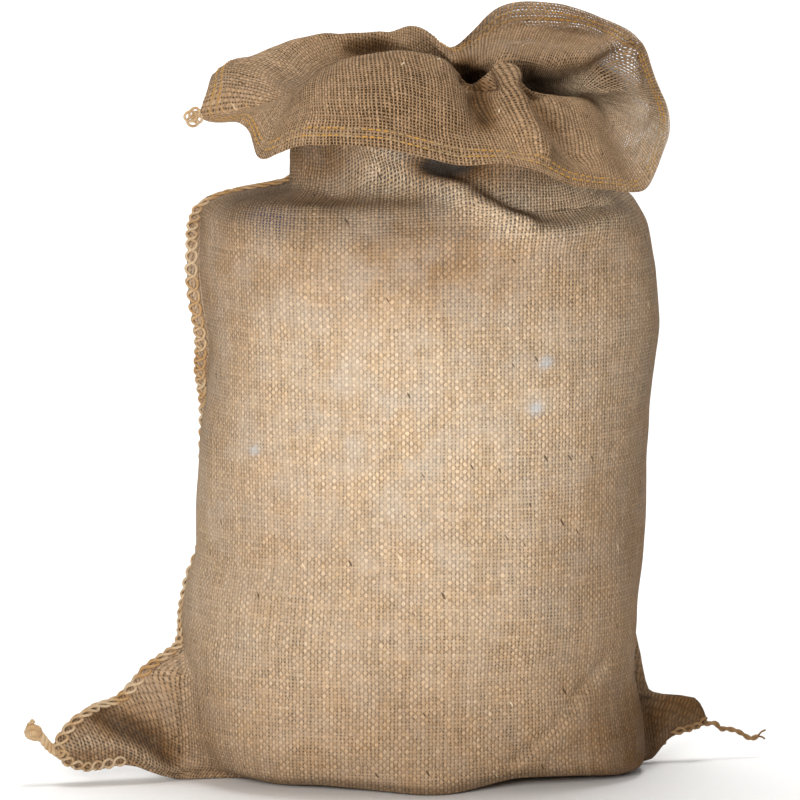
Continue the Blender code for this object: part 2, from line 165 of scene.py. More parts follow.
def value_noise(points, cell, seed):
    """Smooth noise in -1..1 over an (n, 3) array, one lattice of random values per cell size."""
    rng = np.random.default_rng(seed)
    table = rng.uniform(-1, 1, NOISE_VALUES)
    p = np.asarray(points, float) / cell
    base = np.floor(p).astype(int)
    f = p - base
    f = f * f * (3 - 2 * f)
    total = 0.0
    for corner in range(8):
        bits = np.array([(corner >> k) & 1 for k in range(3)])
        x, y, z = ((base + bits) * NOISE_PRIMES).T
        key = (x ^ y ^ z) & (NOISE_VALUES - 1)
        total = total + table[key] * np.prod(np.where(bits == 1, f, 1 - f), axis=1)
    return total


def ear_axes(root):
    """An ear's direction out from the body, and the level direction across it, towards the front."""
    out = np.array([root.x, root.y])
    out /= np.linalg.norm(out)
    across = np.array([-out[1], out[0]])
    return out, across * -np.sign(across[1])


def past_root(places, root):
    """How far places lie out past an ear's root."""
    return places[..., :2] @ ear_axes(root)[0] - root.xy.length


# ---- the body's sections, from the CAD node ----------------------------------------------
def cad_levels():
    """Height, leftmost x, rightmost x and half depth of each ring of the CAD sack_cloth."""
    co = np.array([v.co for v in frame["nodes"]["sack_cloth"].data.vertices], float)
    rows = []
    for z in np.unique(np.round(co[:, 2], 4)):
        ring = co[np.abs(co[:, 2] - z) < 2e-4]
        if len(ring) >= 40:     # a whole ring of the wall
            rows.append((z, ring[:, 0].min(), ring[:, 0].max(), ring[:, 1].max()))
    return np.array(rows)


LEVELS = cad_levels()
LEFT_OF, RIGHT_OF, DEEP_OF = (LEVELS[:, [0, k]] for k in (1, 2, 3))
LEVEL_SOFTNESS = 0.006

# how far the seam plane is turned about +Z at each height
SEAM_TURN = [(0.00, 14.0), (0.11, 14.0), (0.135, 2.0), (0.16, -8.0), (0.20, -12.0), (0.26, -14.0),
             (0.32, -11.0), (0.37, 0.0), (0.41, 8.0), (0.47, 8.0), (0.49, 4.0), (0.515, -12.0), (0.54, -26.0),
             (0.60, -28.0)]
# how far the sewn edge and the ears stand out of the body at each height
LEFT_FIN = [(0.000, 0.000), (0.003, 0.020), (0.006, 0.048), (0.010, 0.078), (0.014, 0.096),
            (0.020, 0.109), (0.030, 0.116), (0.038, 0.116), (0.048, 0.109), (0.056, 0.101),
            (0.061, 0.093), (0.065, 0.083), (0.069, 0.071), (0.075, 0.058), (0.087, 0.046),
            (0.101, 0.033), (0.112, 0.014), (0.119, 0.004), (0.126, 0.002), (0.140, 0.002),
            (0.170, 0.004), (0.330, 0.006), (0.365, FLANGE), (0.500, FLANGE), (0.525, 0.005),
            (0.545, 0.003), (0.700, 0.003)]
RIGHT_FIN = [(0.000, 0.000), (0.004, 0.018), (0.007, 0.022), (0.012, 0.027), (0.020, 0.034),
             (0.0245, 0.041), (0.028, 0.056), (0.031, 0.066), (0.038, 0.072), (0.046, 0.069),
             (0.053, 0.065), (0.058, 0.059), (0.0605, 0.042), (0.063, 0.024), (0.067, 0.018),
             (0.075, 0.015), (0.085, 0.013), (0.100, 0.010), (0.130, 0.000), (0.700, 0.000)]
# above the ear the left edge is drawn in, but hardly at the bulge (height, half height), and
# further at the dent (depth, height, half height)
LEFT_INSET = 0.010
LEFT_BULGE = (0.29, 0.09)
LEFT_DENT = (0.006, 0.385, 0.035)
# the visible cloth's own left edge over the shoulder, and its fuller lower right corner
SHOULDER_LEFT = [(0.505, -0.197), (0.512, -0.191), (0.518, -0.186), (0.523, -0.171), (0.527, -0.130),
                 (0.532, -0.115), (0.553, -0.111), (0.700, -0.105)]
LOW_RIGHT = [(0.000, 0.190), (0.004, 0.203), (0.010, 0.207), (0.020, 0.208), (0.050, 0.206),
             (0.070, 0.202), (0.090, 0.197), (0.130, 0.191), (0.140, 0.000), (0.700, 0.000)]


def body_box(z):
    """Left x, right x and half depth of the body at height z."""
    left = table_value(z, LEFT_OF, LEVEL_SOFTNESS)
    left += LEFT_INSET * smooth_step(z, 0.17, 0.21) * (1 - 0.9 * bell(z, *LEFT_BULGE))
    left += LEFT_DENT[0] * bell(z, *LEFT_DENT[1:])
    left += (table_value(z, SHOULDER_LEFT, 0.002) - left) * smooth_step(z, 0.497, 0.511)
    right = max(table_value(z, RIGHT_OF, LEVEL_SOFTNESS), table_value(z, LOW_RIGHT, 0.002))
    return left, right, table_value(z, DEEP_OF, LEVEL_SOFTNESS)


def wall_section(z, count=720):
    """The body's wall at height z, anticlockwise from the seam at its left, without the ears.

    The second value is the seam plane's direction, towards the right.
    """
    turn = math.radians(table_value(z, SEAM_TURN, 0.02))
    angle = np.pi + np.linspace(0, 2 * np.pi, count + 1)
    power = 2.0 / SQUARENESS
    x = np.sign(np.cos(angle)) * np.abs(np.cos(angle)) ** power * LONG_AXIS
    y = np.sign(np.sin(angle)) * np.abs(np.sin(angle)) ** power
    px = x * math.cos(turn) - y * math.sin(turn)
    py = x * math.sin(turn) + y * math.cos(turn)
    left, right, deep = body_box(z)
    px = (left + right) / 2 + px / px.max() * (right - left) / 2
    py = py / py.max() * deep
    return np.stack([px, py], 1), np.array([math.cos(turn), math.sin(turn)])


def fin_join(wall, out, reach, half, fillet):
    """One panel's wall led out along a fin: from the fin's end, over a fillet, on to the wall.

    wall starts at the fin's root, and out is the fin's direction.
    """
    root = wall[0]
    toward = wall[len(wall) // 2] - root
    across = np.array([-out[1], out[0]])
    across = across * np.sign(across @ toward)
    fillet = min(fillet, max(reach * 0.8, 1e-4))
    start = np.linspace(reach, fillet, 24)
    swell = np.sqrt(np.clip((reach - start) / max(half, 1e-5), 0, 1))
    fin = root + out * start[:, None] + across * (half * swell)[:, None]
    rest = wall[rise_along(wall) > fillet + half]
    control = root + across * half * 1.02
    t = np.linspace(0, 1, 14)[1:-1, None]
    bend = (1 - t) ** 2 * fin[-1] + 2 * t * (1 - t) * control + t * t * rest[0]
    return np.concatenate([fin, bend, rest])


def panel_line(z, front):
    """One panel's line at height z, from the left seam to the right fold, with its cloth coordinate."""
    wall, right_way = wall_section(z)
    half_count = len(wall) // 2
    line = wall[:half_count + 1] if front else wall[half_count:][::-1]
    ear = smooth_step(z, *LEFT_EAR_FADE)
    out = -right_way
    reach = max(table_value(z, LEFT_FIN) + ear * ((np.array(LEFT_EAR.xy) - wall[0]) @ out), 0.0)
    if reach > 1e-4:
        line = fin_join(line, out, reach, FLANGE_HALF + LEFT_EAR_HALF * ear,
                        FLANGE_FILLET + LEFT_EAR_FILLET * ear)
    reach = table_value(z, RIGHT_FIN)
    if reach > 0:
        reach = max(reach + (np.array(RIGHT_EAR.xy) - wall[half_count]) @ right_way, 0.0)
    if reach > 1e-4:
        half = RIGHT_EAR_HALF * smooth_step(reach, -0.004, 0.020)
        line = fin_join(line[::-1], right_way, reach, half, RIGHT_EAR_FILLET)[::-1]
    total = length_of(line)
    ends = np.array(END_STEPS) * min(1.0, total / 0.2)
    middle = np.linspace(ends[-1], total - ends[-1], SIDE_COLUMNS)
    spots = np.concatenate([ends[:-1], middle, (total - ends[:-1])[::-1]])
    k = int(np.argmax((line[:-1, 0] <= 0) & (line[1:, 0] > 0)))
    centre_at = np.interp(0.0, line[k:k + 2, 0], rise_along(line)[k:k + 2])
    return resample(line, spots), spots - centre_at


def row_heights():
    """Heights of the mesh rows up to the neck's top: close together at the floor and the shoulder."""
    near_floor = [0.0, 0.0015, 0.003, 0.0045, 0.006, 0.008, 0.010, 0.012, 0.014, 0.017, 0.020, 0.024]
    even = ((0.027, 0.130, 0.0025), (0.132, 0.5201, 0.004), (0.522, 0.5501, 0.002), (0.552, 0.6001, 0.004))
    return np.concatenate([near_floor] + [np.arange(*stretch) for stretch in even])


def cloth_rows(heights):
    """Points, coordinate across the cloth and fold jumps of the body's rows.

    The columns go from the left seam over the front to the right fold and over the back to the
    seam again, so the first and the last column lie together on the seam.  A jump is the
    difference between the two panels' coordinates at the fold.
    """
    points = []
    across = []
    jumps = []
    for z in heights:
        front, front_at = panel_line(z, True)
        back, back_at = panel_line(z, False)
        plan = np.concatenate([front, back[::-1][1:]])
        points.append(np.column_stack([plan, np.full(len(plan), z)]))
        across.append(np.concatenate([front_at, SHEET_WIDTH - back_at[::-1][1:]]))
        jumps.append(SHEET_WIDTH - back_at[-1] - front_at[-1])
    return np.array(points), np.array(across), np.array(jumps)


# ---- meshes ------------------------------------------------------------------------------
def place_data(name, data):
    """An object for a mesh, lamp or camera, in the scene."""
    thing = bpy.data.objects.new(name, data)
    bpy.context.scene.collection.objects.link(thing)
    return thing


def new_mesh(name, points, faces, material):
    mesh = bpy.data.meshes.new(name)
    mesh.from_pydata([tuple(p) for p in points], [], [tuple(f) for f in faces])
    mesh.update()
    mesh.materials.append(material)
    mesh.shade_smooth()
    return place_data(name, mesh)


def set_uv(thing, corner_uv):
    layer = thing.data.uv_layers.new(name="cloth")
    layer.data.foreach_set("uv", np.asarray(corner_uv, np.float32).ravel())


def grid_normals(points):
    """Outward unit normals of a (rows, columns, 3) grid whose first and last columns meet."""
    body = points[:, :-1]
    along = np.roll(body, -1, 1) - np.roll(body, 1, 1)
    n = unit(np.cross(along, np.gradient(body, axis=0)))
    return np.concatenate([n, n[:, :1]], 1)


def grid_piece(name, points, uv, material, keep=None, paint=None, jumps=None):
    """A mesh from a grid that closes on itself round the sack, with its cloth coordinates.

    keep chooses the grid's faces.  paint holds (rows, columns) arrays of values that the material
    reads, by name.  jumps holds each row's difference between the two panels' coordinates at the
    fold.
    """
    rows, columns = points.shape[:2]
    number = np.arange(rows * (columns - 1)).reshape(rows, columns - 1)
    right = np.roll(number, -1, 1)
    faces = np.stack([number[:-1], right[:-1], right[1:], number[1:]], 2).reshape(-1, 4)
    corners = np.stack([uv[:-1, :-1], uv[:-1, 1:], uv[1:, 1:], uv[1:, :-1]], 2)
    if jumps is not None:
        corners[:, PANEL_COLUMNS - 1, 0, 0] += jumps[:-1]
        corners[:, PANEL_COLUMNS - 1, 3, 0] += jumps[1:]
    corners = corners.reshape(-1, 4, 2)
    if keep is not None:
        faces = faces[keep.reshape(-1)]
        corners = corners[keep.reshape(-1)]
    used, faces = np.unique(faces, return_inverse=True)
    piece = new_mesh(name, points[:, :-1].reshape(-1, 3)[used], faces.reshape(-1, 4), material)
    set_uv(piece, corners)
    for key, values in (paint or {}).items():
        layer = piece.data.attributes.new(key, "FLOAT", "POINT")
        layer.data.foreach_set("value", values[:, :-1].reshape(-1)[used].astype(np.float32))
    return piece


def thicken(piece, thickness):
    """Gives a sheet its thickness, inward from its outer face."""
    shell = piece.modifiers.new("thickness", "SOLIDIFY")
    shell.thickness = thickness
    shell.offset = -1.0
    shell.use_even_offset = False


def hand_over(piece, node, body=None):
    """Hides the CAD node that a finished piece replaces, and attaches the piece to the body it rides."""
    if body is not None:
        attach(piece, body)
    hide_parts(node)


def bend_neck(piece):
    """Bakes the piece's placement into its mesh."""
    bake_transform(piece)


def bend_ear(piece, side, root):
    """Bakes an ear's piece's placement into its mesh."""
    out = Vector((root.x, root.y, 0)).normalized()
    side + "_ear"
    root + out * EAR_BEND[0]
    root + out * EAR_BEND[1]
    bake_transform(piece)


# ---- the body ----------------------------------------------------------------------------
# Creases on the front of the body: points (x, z), height of the ridge, width across.
BODY_CREASES = [
    ([(-0.045, 0.578), (0.005, 0.556), (0.058, 0.528), (0.095, 0.512)], 0.012, 0.011),
    ([(0.058, 0.523), (0.100, 0.506), (0.130, 0.501), (0.166, 0.508), (0.196, 0.520)], 0.006, 0.010),
    ([(-0.088, 0.556), (-0.070, 0.530), (-0.045, 0.505)], -0.0035, 0.012),
    ([(-0.120, 0.530), (-0.085, 0.520), (-0.040, 0.514)], 0.003, 0.010),
    ([(0.078, 0.250), (0.072, 0.160), (0.068, 0.080)], -0.0018, 0.012),
    ([(0.105, 0.235), (0.100, 0.150), (0.110, 0.060)], 0.0016, 0.016),
    ([(-0.190, 0.150), (-0.150, 0.130), (-0.120, 0.100)], -0.0025, 0.014),
    ([(0.168, 0.112), (0.160, 0.103), (0.122, 0.058), (0.085, 0.020)], -0.0030, 0.005),
    ([(0.176, 0.100), (0.140, 0.058), (0.105, 0.025)], 0.0025, 0.010),
]
# Hollows on its front: centre (x, z), half sizes, depth.
BODY_HOLLOWS = [
    ((0.128, 0.531), (0.058, 0.017), 0.016),
    ((0.030, 0.563), (0.034, 0.013), 0.018),
]
# Slack in the cloth: height of the swells, their size, its division per axis, seed, and the
# heights between which they begin.
BODY_SLACK = [
    (0.0022, 0.075, (1, 1, 1), 11, (0.012, 0.06)),
    (0.0010, 0.031, (1, 1, 1), 12, (0.012, 0.06)),
    (0.0035, 0.060, (1, 1, 1.6), 13, (0.44, 0.54)),
]
# How far the front's lower edge rises off the floor at each x, and its belly in the middle.
BASE_LIFT = [(-0.240, 0.000), (-0.130, 0.000), (-0.085, 0.004), (-0.040, 0.002), (0.000, 0.000),
             (0.035, 0.000), (0.055, 0.003), (0.090, 0.010), (0.140, 0.0085), (0.166, 0.0055),
             (0.185, 0.003), (0.203, 0.002), (0.300, 0.000)]
BELLY = (0.015, 0.040, 0.020)   # its middle, half width and depth
BASE_SHRINK = (0.02, 0.18, 0.36, 0.54, 0.72, 0.88)  # rows under the sack: share of its lowest ring
FLOOR_SKIN = 0.0012             # lowest point of the cloth
EAR_ARCH = 0.010                # the left ear's lower edge arches off the floor this far
# The left ear's folds: points (distance out past its root, height), and the ear's ridge and
# valley with their heights and widths.
LEFT_EAR_RIDGE = [(0.108, 0.036), (0.086, 0.041), (0.054, 0.034), (0.021, 0.014), (-0.010, 0.004)]
LEFT_EAR_VALLEY = [(0.072, 0.062), (0.060, 0.053), (0.044, 0.047), (0.027, 0.037), (0.012, 0.020)]
LEFT_EAR_FOLDS = [(LEFT_EAR_RIDGE, 0.013, 0.012), (LEFT_EAR_VALLEY, -0.015, 0.010)]
WEAVE_LEVEL = 0.16              # the weave's rows are counted along the cloth from this height
EAR_LEAN = 24.0                 # the weave leans this far on the ears


def sculpt_body(points):
    """Creases, hollows and slack in the cloth, and the folds of the left ear."""
    flat = points.reshape(-1, 3)
    z = flat[:, 2]
    n = grid_normals(points).reshape(-1, 3)
    front = smooth_step(-n[:, 1], 0.05, 0.45)
    push = np.zeros(len(flat))
    for line, height, width in BODY_CREASES:
        push += front * height * near_line(flat[:, [0, 2]], line, width)
    for centre, half, depth in BODY_HOLLOWS:
        push -= front * depth * oval(flat[:, 0], z, centre, half)
    for height, cell, stretch, seed, (low, high) in BODY_SLACK:
        push += height * value_noise(flat * stretch, cell, seed) * smooth_step(z, low, high)
    reach = past_root(flat, LEFT_EAR)
    on_ear = smooth_step(reach, -0.03, 0.02) * smooth_step(z, 0.13, 0.10)
    side_view = np.stack([reach, z], 1)
    fold = sum(height * near_line(side_view, line, width) for line, height, width in LEFT_EAR_FOLDS)
    fold *= smooth_step(reach, -0.025, 0.01) * smooth_step(0.125 - reach, 0.0, 0.03)
    fold *= smooth_step(z, 0.003, 0.014)
    across = np.append(ear_axes(LEFT_EAR)[1], 0.0)
    moved = flat + n * (push * (1 - on_ear))[:, None] + across * fold[:, None]
    moved[:, 2] = np.maximum(moved[:, 2], FLOOR_SKIN)
    moved[:, 2] += EAR_ARCH * bell(reach, 0.050, 0.022) * smooth_step(moved[:, 2], 0.045, 0.0)
    low = smooth_step(moved[:, 2], 0.060, 0.0) * smooth_step(-moved[:, 1], -0.02, 0.08)
    moved[:, 2] += table_value(moved[:, 0], BASE_LIFT, 0.010) * low
    middle, half, depth = BELLY
    moved[:, 1] -= depth * bell(moved[:, 0], middle, half) * low
    return moved.reshape(points.shape)


def cloth_coords(points, across):
    """Cloth coordinates: across from the middle of each panel, up along the cloth."""
    along = unit(np.gradient(points, axis=1))[:-1]
    step = np.diff(points, axis=0)
    slide = (step * along).sum(2, keepdims=True) * along
    level = np.zeros(points.shape[:2])
    level[1:] = np.cumsum(np.linalg.norm(step - slide, axis=2), axis=0)
    level -= level[np.searchsorted(points[:, 0, 2], WEAVE_LEVEL)]
    z = points[:, :, 2]
    share = smooth_step(z, 0.12, 0.20)
    return np.stack([across, share * (level + WEAVE_LEVEL) + (1 - share) * z], 2)


def lean_weave(uv, points, root):
    """Leans the weave on an ear, where the panel's corner leans out."""
    reach = past_root(points, root)
    lean = math.tan(math.radians(EAR_LEAN)) * smooth_step(reach, -0.03, 0.05)
    lean *= smooth_step(points[..., 2], 0.16, 0.10)
    u, v = uv[..., 0], uv[..., 1]
    return np.stack([u - np.sign(u) * lean * (v - 0.05), v - lean * np.maximum(reach + 0.03, 0)], 2)


def close_base(points, uv):
    """Adds rows under the sack, from its lowest ring in to the bottom seam's line."""
    ring = points[0]
    left = ring[0]
    line = ring[PANEL_COLUMNS - 1] - left
    share = np.clip(((ring - left) @ line) / (line @ line), 0, 1)
    seam = left + share[:, None] * line
    rows = [seam + (ring - seam) * f for f in BASE_SHRINK]
    base_uv = [uv[0] - np.linalg.norm(ring - row, axis=1)[:, None] * (0.0, 1.0) for row in rows]
    return np.concatenate([rows, points]), np.concatenate([base_uv, uv])


def build_body(material):
    points, across, jumps = cloth_rows(row_heights())
    jumps = np.concatenate([np.repeat(jumps[:1], len(BASE_SHRINK)), jumps])
    points = sculpt_body(points)
    points, uv = close_base(points, cloth_coords(points, across))
    for root in (LEFT_EAR, RIGHT_EAR):
        uv = lean_weave(uv, points, root)
    middles = 0.5 * (points[:-1, :-1] + points[1:, 1:])
    z = middles[..., 2]
    left = (past_root(middles, LEFT_EAR) > EAR_CUT) & (z < LEFT_EAR_TOP)
    right = (past_root(middles, RIGHT_EAR) > EAR_CUT) & (z < RIGHT_EAR_TOP)
    paint = paint_body(points)
    pieces = []
    for name, chosen in (("sack", ~(left | right)), ("left_ear", left), ("right_ear", right)):
        piece = grid_piece(name + "_hessian", points, uv, material, chosen, paint, jumps)
        thicken(piece, CLOTH)
        hand_over(piece, name + "_cloth")
        pieces.append(piece)
    bend_neck(pieces[0])
    bend_ear(pieces[1], "left", LEFT_EAR)
    bend_ear(pieces[2], "right", RIGHT_EAR)
    return points


# ---- how the weave looks, place by place -------------------------------------------------
# What the hessian's material reads from the mesh: how open the weave is, its tone with painted light
# and shade, how much of the pale liner shows, how see-through its gaps are, rubbed spots, and bluish gaps.
PAINT = ("openness", "tone", "backing", "see_through", "worn", "blue")
# Pale rubbed spots on the front: x, z and half size.
WORN_SPOTS = [(0.116, 0.389, 0.0048), (0.107, 0.349, 0.0052), (-0.143, 0.306, 0.0036)]


def paint_body(points):
    """What the material reads on the body and the ears, with painted light and shade in its tone."""
    flat = points.reshape(-1, 3)
    x, y, z = flat.T
    front = smooth_step(-grid_normals(points).reshape(-1, 3)[:, 1], -0.2, 0.5)
    shoulder = smooth_step(z, 0.47, 0.55)
    # painted light: a pool of light on the middle of the front, where the weave is also tighter and more of
    # the liner shows
    taut_and_painted_light = front * oval(x, z, (-0.02, 0.35), (0.17, 0.19))
    left_low = smooth_step(-x, 0.14, 0.24) * smooth_step(z, 0.12, 0.04)
    right_low = smooth_step(x, 0.14, 0.21) * smooth_step(z, 0.11, 0.05)
    right_corner = smooth_step(x, 0.205, 0.225) * smooth_step(z, 0.11, 0.085)
    left_neck = front * oval(x, z, (-0.034, 0.547), (0.024, 0.016))
    blue = front * oval(x, z, (-0.130, 0.512), (0.026, 0.012))
    neck_fold = front * near_line(flat[:, [0, 2]], BODY_CREASES[0][0], 0.020)
    reach = past_root(flat, LEFT_EAR)
    on_ear = smooth_step(reach, -0.01, 0.02)
    side_view = np.stack([reach, z], 1)
    ear_ridge = on_ear * near_line(side_view, LEFT_EAR_RIDGE, 0.008)
    ear_valley = on_ear * near_line(side_view, LEFT_EAR_VALLEY, 0.010)
    # painted shadow under the collar's lip, and painted shade beside it
    under_lip = np.minimum(1.6 * oval(x, z, (0.028, 0.558), (0.030, 0.010)) * (y < 0), 1.0)
    beside_it = oval(x, z, (0.090, 0.549), (0.030, 0.012)) * (y < 0)

    openness = 0.26 + 0.14 * value_noise(flat, 0.06, 31) + 0.55 * shoulder - 0.16 * taut_and_painted_light
    openness += 0.35 * left_low + 0.1 * right_low
    openness += 0.14 * smooth_step(x, 0.05, 0.16) * smooth_step(z, 0.10, 0.20)
    openness += 0.50 * ear_ridge + 0.25 * neck_fold + 0.35 * left_neck + 0.5 * blue
    tone = 0.885 + 0.13 * taut_and_painted_light + 0.05 * value_noise(flat, 0.12, 32)
    # Painted light and shade: the tone is darkened up to the shoulder and the neck, down to the floor, to the
    # lower right, beside the seam, below the neck's fold and on the neck's left side, and lightened on the
    # right shoulder.
    changes = [     # the tone's changes, as shares of itself
        (-0.12, smooth_step(z, 0.39, 0.50)),                                # up to the shoulder
        (-0.12, smooth_step(z, 0.54, 0.57)),                                # up the neck
        (-0.12, smooth_step(z, 0.16, 0.02)),                                # down to the floor
        (-0.16, smooth_step(x, 0.05, 0.20) * smooth_step(z, 0.5, 0.2)),     # to the lower right
        (-0.09, smooth_step(-x, 0.12, 0.17) * bell(z, 0.41, 0.09)),         # beside the seam
        (-0.17, front * oval(x, z, (0.03, 0.485), (0.075, 0.042))),         # below the neck's fold
        (-0.42, front * oval(x, z, (-0.080, 0.560), (0.034, 0.018))),       # the neck's left side
        (0.80, front * oval(x, z, (0.155, 0.525), (0.045, 0.018))),         # the right shoulder
        # darker at the lower left; painted shade at the lower right and its corner, a painted shadow under
        # the lip and painted shade beside it; painted light left of the neck's middle, along the neck's fold
        # and on the ear's ridge; painted shade in the ear's valley
        (-0.26, left_low),
        (-0.50, right_low),
        (-0.24, right_corner),
        (-0.94, under_lip),
        (-0.30, beside_it),
        (0.42, left_neck),
        (0.34, neck_fold),
        (0.50, ear_ridge),
        (-0.58, ear_valley),
    ]
    for amount, where in changes:
        tone = tone * (1 + amount * where)
    worn = sum(front * oval(x, z, (cx, cz), (half, half)) for cx, cz, half in WORN_SPOTS)
    values = (openness, tone, 0.18 + 0.50 * taut_and_painted_light, 0.25 * shoulder * (1 - blue), worn, blue)
    return {key: value.reshape(points.shape[:2]) for key, value in zip(PAINT, values)}


def paint_collar(points, share):
    """What the material reads on the collar; share is each column's place round it."""
    flat = points.reshape(-1, 3)
    s = np.broadcast_to(share, points.shape[:2]).reshape(-1)
    out = np.broadcast_to(np.linspace(0, 1, len(points))[:, None], points.shape[:2]).reshape(-1)
    trumpet = smooth_step(s, 0.38, 0.46) * smooth_step(s, 0.76, 0.66)
    left_edge = bell(s, 0.955, 0.03)
    lobes = bell(s, 0.93, 0.05) + bell(s, 0.07, 0.04)
    openness = (0.62 + 0.30 * value_noise(flat, 0.045, 33) + 0.35 * trumpet + 0.55 * bell(s, 0.20, 0.09)
                + 0.2 * left_edge)
    # painted light: the tone is raised round the right-hand fold and deeper in the trumpet; it also varies at
    # random and is a little higher at the lobes; below, painted shade along COLLAR_SHADES
    tone = 0.675 + 0.05 * value_noise(flat, 0.09, 34) + 0.34 * bell(s, 0.50, 0.07) + 0.08 * lobes
    tone = tone * (1 + 0.35 * trumpet * smooth_step(s, 0.50, 0.58) * smooth_step(out, 0.55, 0.25))
    seen = np.stack([flat[:, 0], seen_height(flat)], 1)
    facing = smooth_step(grid_normals(points).reshape(-1, 3)[:, 1], -0.60, 0.00)
    for line, depth, width in COLLAR_SHADES:
        tone = tone * (1 - depth * facing * near_line(seen, line, width))
    see = np.clip(0.05 + 0.90 * trumpet * smooth_step(out, 0.45, 0.70)
                  + 0.7 * left_edge * smooth_step(out, 0.3, 0.5), 0, 1)
    none = np.zeros(len(flat))
    values = (openness, tone, none, see, none, none)
    return {key: value.reshape(points.shape[:2]) for key, value in zip(PAINT, values)}


# ---- the collar --------------------------------------------------------------------------
# Ribs of the flopped mouth: place round the cloth (0 at the seam, 0.25 front, 0.5 at the fold),
# then inner wall, crest, slope and rim points in millimetres.
COLLAR_RIBS = [
    (0.000, (-122, -25, 604), (-148, -38, 604), (-170, -50, 601), (-191, -62, 599)),
    (0.045, (-118, -50, 612), (-135, -68, 611), (-147, -86, 603), (-151, -104, 594)),
    (0.088, (-98, -78, 622), (-112, -105, 621), (-126, -132, 599), (-137, -152, 571)),
    (0.130, (-80, -92, 632), (-90, -122, 640), (-98, -165, 620), (-103, -190, 586)),
    (0.170, (-55, -98, 640), (-62, -128, 656), (-60, -182, 632), (-58, -215, 588)),
    (0.210, (-15, -100, 642), (-18, -128, 664), (-12, -188, 640), (-10, -226, 584)),
    (0.250, (25, -98, 636), (24, -125, 655), (30, -185, 628), (38, -225, 573)),
    (0.285, (48, -85, 626), (48, -108, 630), (62, -168, 606), (80, -218, 572)),
    (0.320, (75, -80, 632), (78, -105, 645), (95, -160, 611), (112, -210, 564)),
    (0.360, (110, -60, 620), (115, -75, 618), (128, -140, 586), (140, -196, 551)),
    (0.400, (140, -40, 615), (152, -60, 602), (165, -120, 572), (172, -178, 546)),
    (0.435, (150, -25, 612), (165, -45, 598), (185, -95, 568), (203, -150, 542)),
    (0.470, (150, -10, 612), (168, -22, 602), (201, -60, 587), (220, -112, 570)),
    (0.510, (150, 0, 614), (168, -4, 610), (201, -32, 606), (226, -80, 603)),
    (0.550, (150, 5, 612), (168, 0, 616), (198, -8, 628), (213, -45, 640)),
    (0.588, (140, 5, 614), (160, -28, 646), (182, 0, 660), (198, -8, 667)),
    (0.630, (118, 12, 616), (128, -36, 648), (147, 32, 670), (163, 20, 683)),
    (0.670, (95, 14, 616), (98, -38, 648), (112, 42, 671), (125, 42, 692)),
    (0.705, (69, 20, 617), (70, -30, 646), (74, 50, 667), (78, 57, 688)),
    (0.740, (43, 40, 622), (38, 12, 640), (35, 66, 648), (36, 66, 650)),
    (0.775, (8, 80, 638), (4, 95, 662), (5, 112, 658), (8, 100, 642)),
    (0.815, (-25, 84, 638), (-28, 100, 658), (-32, 122, 646), (-34, 122, 622)),
    (0.860, (-65, 82, 640), (-75, 95, 660), (-84, 118, 646), (-88, 120, 620)),
    (0.910, (-98, 60, 634), (-118, 66, 651), (-138, 80, 640), (-145, 80, 620)),
    (0.955, (-112, 25, 618), (-140, 20, 636), (-165, 20, 641), (-178, 5, 631)),
    (0.985, (-115, -5, 610), (-145, -12, 618), (-170, -22, 622), (-187, -35, 617)),
]
COLLAR_ROWS = 72
# Slack in its cloth: height of the swells, their size, seed.
COLLAR_SLACK = [(0.0024, 0.035, 21), (0.0011, 0.016, 22)]
# Folds of the collar's inner face, as seen from the front: points (x, height), height of the
# fold, width above or left of it, width below or right of it.
COLLAR_FOLDS = [
    ([(0.096, 0.614), (0.130, 0.616), (0.157, 0.628), (0.190, 0.648)], -0.010, 0.007, 0.010),
    ([(0.060, 0.668), (0.095, 0.672), (0.130, 0.670), (0.165, 0.664)], -0.004, 0.006, 0.006),
    ([(0.081, 0.632), (0.087, 0.605), (0.094, 0.578), (0.108, 0.555)], 0.014, 0.012, 0.009),
    ([(0.103, 0.614), (0.130, 0.569), (0.146, 0.552)], -0.013, 0.008, 0.010),
    ([(-0.060, 0.661), (-0.032, 0.664), (-0.010, 0.655)], 0.006, 0.006, 0.006),
    ([(-0.140, 0.592), (-0.080, 0.585), (0.000, 0.572), (0.050, 0.570)], -0.004, 0.010, 0.008),
    ([(0.040, 0.625), (0.055, 0.631), (0.075, 0.629)], 0.006, 0.004, 0.004),
    ([(0.044, 0.616), (0.058, 0.617), (0.072, 0.611)], -0.010, 0.005, 0.005),
    ([(0.150, 0.600), (0.185, 0.585), (0.205, 0.560)], 0.004, 0.014, 0.014),
    ([(-0.165, 0.640), (-0.140, 0.610), (-0.105, 0.600)], -0.004, 0.010, 0.012),
]
# Hollows and swellings: centre (x, height), half sizes, depth (swellings are negative).
COLLAR_HOLLOWS = [
    ((-0.039, 0.651), (0.017, 0.008), 0.022),
    ((0.056, 0.622), (0.013, 0.010), 0.014),
    ((0.057, 0.600), (0.008, 0.020), 0.014),
    ((-0.018, 0.602), (0.062, 0.030), -0.009),
]
# Dark hollows that little light reaches: points (x, height), how dark, half width.
COLLAR_SHADES = [
    ([(0.046, 0.634), (0.054, 0.612), (0.061, 0.580)], 0.75, 0.009),
    ([(0.100, 0.606), (0.122, 0.575)], 0.30, 0.007),
    ([(-0.060, 0.652), (-0.030, 0.654)], 0.35, 0.008),
]
CLOTH_ROUND = 1.22              # length of the mouth's edge


